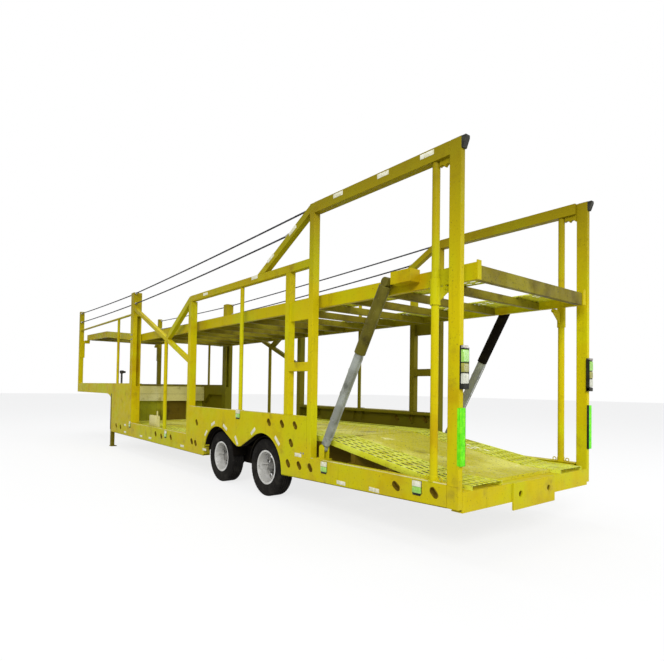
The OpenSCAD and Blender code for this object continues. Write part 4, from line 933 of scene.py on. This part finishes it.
springs += [turned(HALF_AXLE, [x, 0.0, HUB_Z], n=28) for x in at(AXLES)]
pair("brake_dust_shields", [turned(SHIELD, [x, 0.0, HUB_Z], n=48) for x in at(AXLES)], black_guard_and_shade)
pair("leaf_springs_and_chambers", springs, dark_steel, ("suspension", "axle_beams"))

# ---- lamps, markers and reflectors --------------------------------------------------

LAMP_IN, SKIN = HALF_W - 0.087, HALF_W - 0.001  # the rear lamps' inner side; just under the outer faces


def behind(reach, y, z, r=0.005):
    """A block behind the corner post: it reaches from reach[0] to reach[1] rearwards."""
    return slab((REAR_X - reach[1], REAR_X - reach[0]), y, z, r)


HOUSING_BLOCKS = (((0.0, 0.01), (LAMP_IN, SKIN), (1.53, 1.92), 0.003),
    ((0.0, 0.04), (LAMP_IN, LAMP_IN + 0.005), (1.53, 1.905), 0.002),
    ((0.0, 0.012), (HALF_W - 0.006, SKIN), (1.53, 1.89), 0.002),
    ((0.0, 0.044), (LAMP_IN, SKIN), (1.53, 1.575), 0.006),
    ((0.0, 0.024), (HALF_W - 0.064, HALF_W - 0.058), (0.85, 1.365), 0.002))
back = [behind(*row) for row in HOUSING_BLOCKS]
hood = [[REAR_X, 3.69], [REAR_X - 0.016, 3.69], [REAR_X - 0.048, 3.77], [REAR_X - 0.048, 3.797],
    [REAR_X, 3.797]]
back.append(plate(hood, [], HALF_W - 0.06, SKIN))
back += [behind((0.008, 0.041), (LAMP_IN, HALF_W - 0.002), (z, z + 0.006), 0.002)
    for z in (1.673, 1.763, 1.884)]
for z in (1.548, 1.562):
    back += bolt([REAR_X - 0.043, LAMP_IN + 0.02, z], (-1, 0, 0), 0.007, False)
pair("rear_lamp_housings", back, housing, ("lamps",))
for name, z0, z1, mat in (("pale", 1.578, 1.672, lens_clear), ("olive", 1.68, 1.762, lens_olive),
        ("green", 1.77, 1.883, lens_green), ("grey", 1.892, 1.92, bare_steel)):
    lens = [behind((0.01, 0.0445), (LAMP_IN + 0.005, SKIN), (z0, z1), 0.007)]
    if name != "grey":
        lens += [behind((0.04, 0.0465), (LAMP_IN + 0.011, HALF_W - 0.012), (z, z + 0.004), 0.0015)
            for z in np.arange(z0 + 0.012, z1 - 0.012, 0.01)]
    pair(f"rear_lamp_{name}", lens, mat)
strip = [behind((0.0, 0.0255), (HALF_W - 0.059, HALF_W + 0.002), (0.85, 1.365), 0.004),
    slab((REAR_X - 0.004, REAR_X + 0.018), (SKIN, HALF_W + 0.002), (0.852, 1.363), 0.001)]
strip += [behind((0.02, 0.027), (HALF_W - 0.054, HALF_W - 0.004), (z, z + 0.005), 0.0015)
    for z in np.arange(0.862, 1.355, 0.0165)]
pair("rear_green_strip", strip, tape_green)

RAIL_Y = 1.24                   # outer face of the rails and braces
# each tape's distance ahead in millimetres and its middle height, and then its length, height, lean in
# degrees and outer face, as far as they aren't a plain tape's
TAPES = ((9352, 0.598, 0.13), (9343, 0.438), (8249, 0.436), (7701, 0.44), (6057, 0.438), (5130, 0.47, 0.13),
    (2441, 0.68, 0.14, 0.045), (1599, 0.461, 0.15, 0.042, 1), (1065, 0.471, 0.15, 0.042, 1),
    (5085, 0.745, 0.12, 0.042, -45), (4830, 0.918, 0.13, 0.044, -22), (4410, 0.888, 0.14, 0.046, 28),
    (4040, 0.716, 0.15, 0.048, 55), (3555, 0.89, 0.14, 0.046, -38), (2925, 0.812, 0.15, 0.046, 42),
    (5235, 3.08, 0.17, 0.045, 0, RAIL_Y), (3609, 3.098, 0.17, 0.045, 0, RAIL_Y),
    (3184, 3.3, 0.18, 0.045, -26.5, RAIL_Y), (2659, 3.563, 0.18, 0.045, -26.5, RAIL_Y),
    (397, 3.762, 0.17, 0.048), (991, 3.762, 0.17, 0.048), (1727, 3.762, 0.17, 0.048))


def tape(d, z, length=0.15, tall=0.04, lean=0, y=HALF_W):
    """A strip of tape on an outer face at y, lying along the side and leaning up towards the front."""
    reach = length / 2 * np.array([math.cos(math.radians(lean)), 0, math.sin(math.radians(lean))])
    middle = np.array([at(d), y + 0.0008, z])
    return straight(middle - reach, middle + reach, soft_box(0.0028, tall, 0.001), 0.001)


pair("side_pale_tapes", [tape(*row) for row in TAPES], tape_pale)

brackets, green, pale = [], [], []
for d, z, half in ((478, 0.596, 0.058), (1911, 0.599, 0.058), (4005, 1.118, 0.062), (6857, 0.593, 0.056),
        (9010, 0.64, 0.05)):
    x = at(d)
    lens_x, lens_y = (x - half + 0.003, x + half - 0.003), (HALF_W, HALF_W + 0.01)
    brackets.append(slab((x - half + 0.012, x + half - 0.006), (HALF_W - 0.004, HALF_W + 0.009),
        (z - 0.078, z - 0.05)))
    brackets.append(slab((x - half, x + half), (HALF_W - 0.002, HALF_W + 0.004), (z - 0.062, z + 0.062),
        0.002))
    green.append(slab(lens_x, lens_y, (z - 0.058, z + 0.002)))
    pale.append(slab(lens_x, lens_y, (z + 0.003, z + 0.06)))
    pale += [slab((x + k - 0.002, x + k + 0.002), (HALF_W + 0.008, HALF_W + 0.0115), (z + 0.008, z + 0.055),
        0.001) for k in np.arange(-half + 0.012, half - 0.01, 0.012)]
for name, parts, mat in (("brackets", brackets, housing), ("green_lenses", green, lens_green),
        ("pale_lenses", pale, tape_pale)):
    pair(f"marker_{name}", parts, mat)

# ---- bulkhead, control box and couplings -----------------------------------------------

BULK = SILL_FRONT               # the bulkhead's front face
SILL_TO_SILL = (-SILL_IN, SILL_IN)
sheets = [slab((BULK - 0.006, BULK), SILL_TO_SILL, (0.365, 1.125), 0.002)]
for y0, y1, top in ((-SILL_IN, -0.67, 1.122), (-0.14, 0.14, 1.122), (0.67, SILL_IN, 1.122),
        (-0.67, -0.14, 0.58), (0.14, 0.67, 0.58)):
    sheets.append(slab((BULK - 0.014, BULK - 0.005), (y0, y1), (0.365, top), 0.003))
for y in (-0.9, 0.0, 0.9):
    sheets.append(slab((BULK - 0.03, BULK - 0.013), (y - 0.02, y + 0.02), (0.64, 1.12)))
piece("bulkhead_sheets", sheets, bulkhead_paint, "frame", ("bulkhead",))
# the right recess's dark brown is painted shade
for side_name, s, mat in (("left", 1, bulkhead_paint), ("right", -1, painted_shade_brown)):
    wide = (s * 0.405 - 0.262, s * 0.405 + 0.262)
    recess = [slab((BULK - 0.0085, BULK - 0.004), wide, (0.584, 1.118), 0.002)]
    recess += [slab((BULK - 0.013, BULK - 0.006), wide, (z, z + 0.016)) for z in (0.76, 0.94)]
    piece(f"bulkhead_recess_{side_name}", recess, mat, "frame")
box_parts = [slab((BULK - 0.15, BULK - 0.014), SILL_TO_SILL, (1.12, 1.3), 0.014),
    slab((BULK - 0.154, BULK - 0.149), (-1.12, 1.12), (1.304, 1.5), 0.002)]
box_parts += [slab((BULK - 0.158, BULK - 0.148), (y - 0.012, y + 0.012), (1.128, 1.292))
    for y in (-0.84, -0.42, 0.0, 0.42, 0.84)]
piece("neck_box_plates", box_parts, box_paint, "frame")

cabinet = [slab(at([7690, 8136]), (1.06, 1.124), (0.64, 0.89), 0.01),
    slab(at([7705, 8121]), (1.052, 1.062), (0.66, 0.872)),
    slab(at([7738, 7762]), (1.08, 1.104), (0.88, 0.988))]
for x in at([7780, 8050]):
    cabinet += bolt([x, 1.053, 0.765], (0, -1, 0), 0.018)
piece("control_cabinet", cabinet, box_paint, "frame")
HEAD = [[0.0, 0.0], [0.011, 0.0], [0.011, 0.23], [0.02, 0.236], [0.034, 0.246], [0.036, 0.296],
    [0.024, 0.31], [0.0, 0.312]]
MOUTH = [[0.0, 0.0], [0.026, 0.0], [0.026, 0.04], [0.014, 0.048], [0.0, 0.048]]
heads = []
for x in at([9916, 9995]):
    heads += [turned(HEAD, [x, 1.175, 1.56], (0, 0, 1), 16),
        turned(MOUTH, [x, 1.145, 1.832], (0, -1, 0), 16)]
piece("air_couplings", heads, housing, "frame")

POST_Y = 1.2015                 # the guide posts' middles
eye = circle(0.02, 18)
lugs = [swept(xyz(x + eye[:, 0], POST_Y, 0.692 + eye[:, 1]), circle(0.006, 8), (0, 1, 0), True)
    for x in at([240, 400])]
TALL_FOOT = [[0.0, 0.0], [0.056, 0.0], [0.056, 0.01], [0.042, 0.014], [0.042, 0.05], [0.0385, 0.054],
    [0.0, 0.054]]
FLAT_FOOT = [[0.0, 0.0], [0.056, 0.0], [0.056, 0.008], [0.034, 0.012], [0.0, 0.012]]
for foot, d, z in ((TALL_FOOT, 320, SILL_TOP), (FLAT_FOOT, 4030, PANEL_TOP)):
    lugs.append(turned(foot, [at(d), POST_Y, z], (0, 0, 1), 28))
pair("post_feet_and_lugs", lugs, frame_paint)

# ---- welds, bolts, caps --------------------------------------------------------------

welds = []
for x0, x1 in at([[0, 130], [2179.5, 2274.5], [5781, 5899], [8947.5, 9132.5]]):
    welds.append(weld([x0, SKIN, SILL_TOP], [x1, SKIN, SILL_TOP]))
for d, z, y0, y1 in ((2692.5, 3.023, 1.16, 1.24), (2787.5, 3.023, 1.16, 1.24), (2274.5, 1.73, 1.158, 1.248),
        (2274.5, 1.842, 1.158, 1.248), (2692.5, 1.73, 1.158, 1.248), (2692.5, 1.842, 1.158, 1.248)):
    welds.append(weld([at(d), y0, z], [at(d), y1, z]))
for d, y, z0, z1 in ((2274.5, 1.236, 3.79, 3.7), (130, HALF_W - 0.002, 3.67, 3.795),
        (8947.5, 1.236, 3.285, 3.2)):
    welds.append(weld([at(d), y, z0], [at(d), y, z1]))
pair("weld_beads", welds, frame_paint, smooth=60)

bolts = []
for d, z, size in ((9005, 2.56, 0.02), (9005, 2.66, 0.02), (9075, 2.56, 0.02), (9075, 2.66, 0.02),
        (2330, 0.71, 0.014), (2380, 0.71, 0.014)):
    bolts += bolt([at(d), HALF_W, z], (0, 1, 0), size)
pair("frame_bolts", bolts, bare_steel)
pair("post_caps", [slab(at([1, 120]), (1.192, 1.248), (3.7985, 3.8005), 0.0008)], housing)

# ---- the barrels' pipes ---------------------------------------------------------------

FOOT = np.array([at(2040), 1.15, 0.8])
EYE = np.array([at(1020), 1.15, 2.65])
ALONG = (EYE - FOOT) / np.linalg.norm(EYE - FOOT)
ACROSS = np.array([ALONG[2], 0, -ALONG[0]])


def on_barrel(along, across=0.0):
    """A point on or beside the barrel: foot + along * axis + across * its normal."""
    return FOOT + along * ALONG + across * ACROSS


PIPE = ((0.16, -0.054), (0.16, -0.066), (0.19, -0.072), (0.6, -0.072), (1.0, -0.072), (1.24, -0.072),
    (1.27, -0.066), (1.27, -0.05))
BAND = [[0.0535, -0.012], [0.056, -0.01], [0.056, 0.01], [0.0535, 0.012]]
COLLAR = [[0.052, 0.0], [0.0585, 0.002], [0.0585, 0.052], [0.052, 0.055]]
PORT = [[0.0, 0.0], [0.012, 0.0], [0.012, 0.02], [0.0, 0.022]]
pipe_parts = [swept([on_barrel(*p) for p in PIPE], circle(0.006, 10), (0, 1, 0))]
pipe_parts += [turned(BAND, on_barrel(s), ALONG, 28) for s in (0.4, 0.75, 1.05)]
pipe_parts += [turned(COLLAR, on_barrel(1.31), ALONG, 32),
    turned(PORT, on_barrel(0.16, -0.05), -ACROSS, 10)]
for side_name, side in SIDES:
    piece(f"barrel_pipe_{side_name}", pipe_parts if side > 0 else mirrored(pipe_parts), cylinder_grey,
        f"barrel_{side_name}")

# ---- floor, lights and camera ---------------------------------------------------------

def shown_white(tree, keep, usual, white, output):
    """Shows the white shader, by the share keep, to the camera, in gloss and through glass, and the
    usual one to all other light."""
    rays = tree.nodes.new("ShaderNodeLightPath").outputs
    seen = maths(tree, "MAXIMUM", rays["Is Camera Ray"], rays["Is Glossy Ray"])
    share = maths(tree, "MULTIPLY", maths(tree, "MAXIMUM", seen, rays["Is Transmission Ray"]), keep)
    blend = tree.nodes.new("ShaderNodeMixShader")
    for i, source in enumerate((share, usual.outputs[0], white.outputs[0])):
        tree.links.new(source, blend.inputs[i])
    tree.links.new(blend.outputs[0], tree.nodes[output].inputs["Surface"])


floor_material = bpy.data.materials.new("pale_floor")
floor_material.use_nodes = True
tree = floor_material.node_tree
plain, glow = tree.nodes["Principled BSDF"], tree.nodes.new("ShaderNodeEmission")
fill(plain, Base_Color=(0.5, 0.5, 0.5, 1), Roughness=0.9)
fill(glow, Strength=1.3)
shown_white(tree, 0.6, plain, glow, "Material Output")
bpy.ops.mesh.primitive_plane_add(size=160, location=(0, 0, 0))
floor = bpy.context.object
floor.name = "studio_floor"
floor.data.materials.append(floor_material)

world = bpy.data.worlds.new("studio_world")
bpy.context.scene.world = world
world.use_nodes = True
tree = world.node_tree
soft, white = tree.nodes["Background"], tree.nodes.new("ShaderNodeBackground")
fill(soft, Color=(0.92, 0.95, 1.0, 1), Strength=0.38)
fill(white, Color=(1, 1, 1, 1), Strength=1.0)
shown_white(tree, 1.0, soft, white, "World Output")


def lamp(name, place, target, size, power):
    """A square soft light that faces its target."""
    light = bpy.data.lights.new(name, "AREA")
    light.shape = "SQUARE"
    light.size = size
    light.energy = power
    holder = bpy.data.objects.new(name, light)
    holder.location = place
    holder.rotation_euler = (Vector(target) - Vector(place)).to_track_quat("-Z", "Y").to_euler()
    bpy.context.scene.collection.objects.link(holder)


lamp("key_light", (-22.0, 19.0, 15.0), (-1.0, 0.0, 1.5), 12.0, 5600)
lamp("rear_fill", (-15.0, -6.0, 5.0), (-3.0, 0.0, 1.8), 6.0, 450)
lamp("top_light", (1.0, 0.0, 14.0), (0.0, 0.0, 2.0), 12.0, 950)

camera_data = bpy.data.cameras.new("camera")
camera = bpy.data.objects.new("camera", camera_data)
bpy.context.scene.collection.objects.link(camera)
CAMERA_AT = (-9.7619, 4.9471, 1.5258)
yaw, pitch, roll = -0.6799, 0.0252, 0.0149      # in radians
forward = np.array([math.cos(yaw) * math.cos(pitch), math.sin(yaw) * math.cos(pitch), math.sin(pitch)])
right = np.array([math.sin(yaw), -math.cos(yaw), 0.0])
above = np.cross(right, forward)
rolled_right = math.cos(roll) * right + math.sin(roll) * above
rolled_up = -math.sin(roll) * right + math.cos(roll) * above
camera.matrix_world = Matrix(np.stack([rolled_right, rolled_up, -forward, CAMERA_AT], -1).tolist()
    + [[0, 0, 0, 1]])
camera_data.sensor_width = 36.0
camera_data.lens = 27.58
camera_data.shift_y = 0.067
camera_data.clip_end = 400
camera_data.dof.use_dof = False
bpy.context.scene.camera = camera
bpy.context.scene.view_settings.view_transform = "Standard"
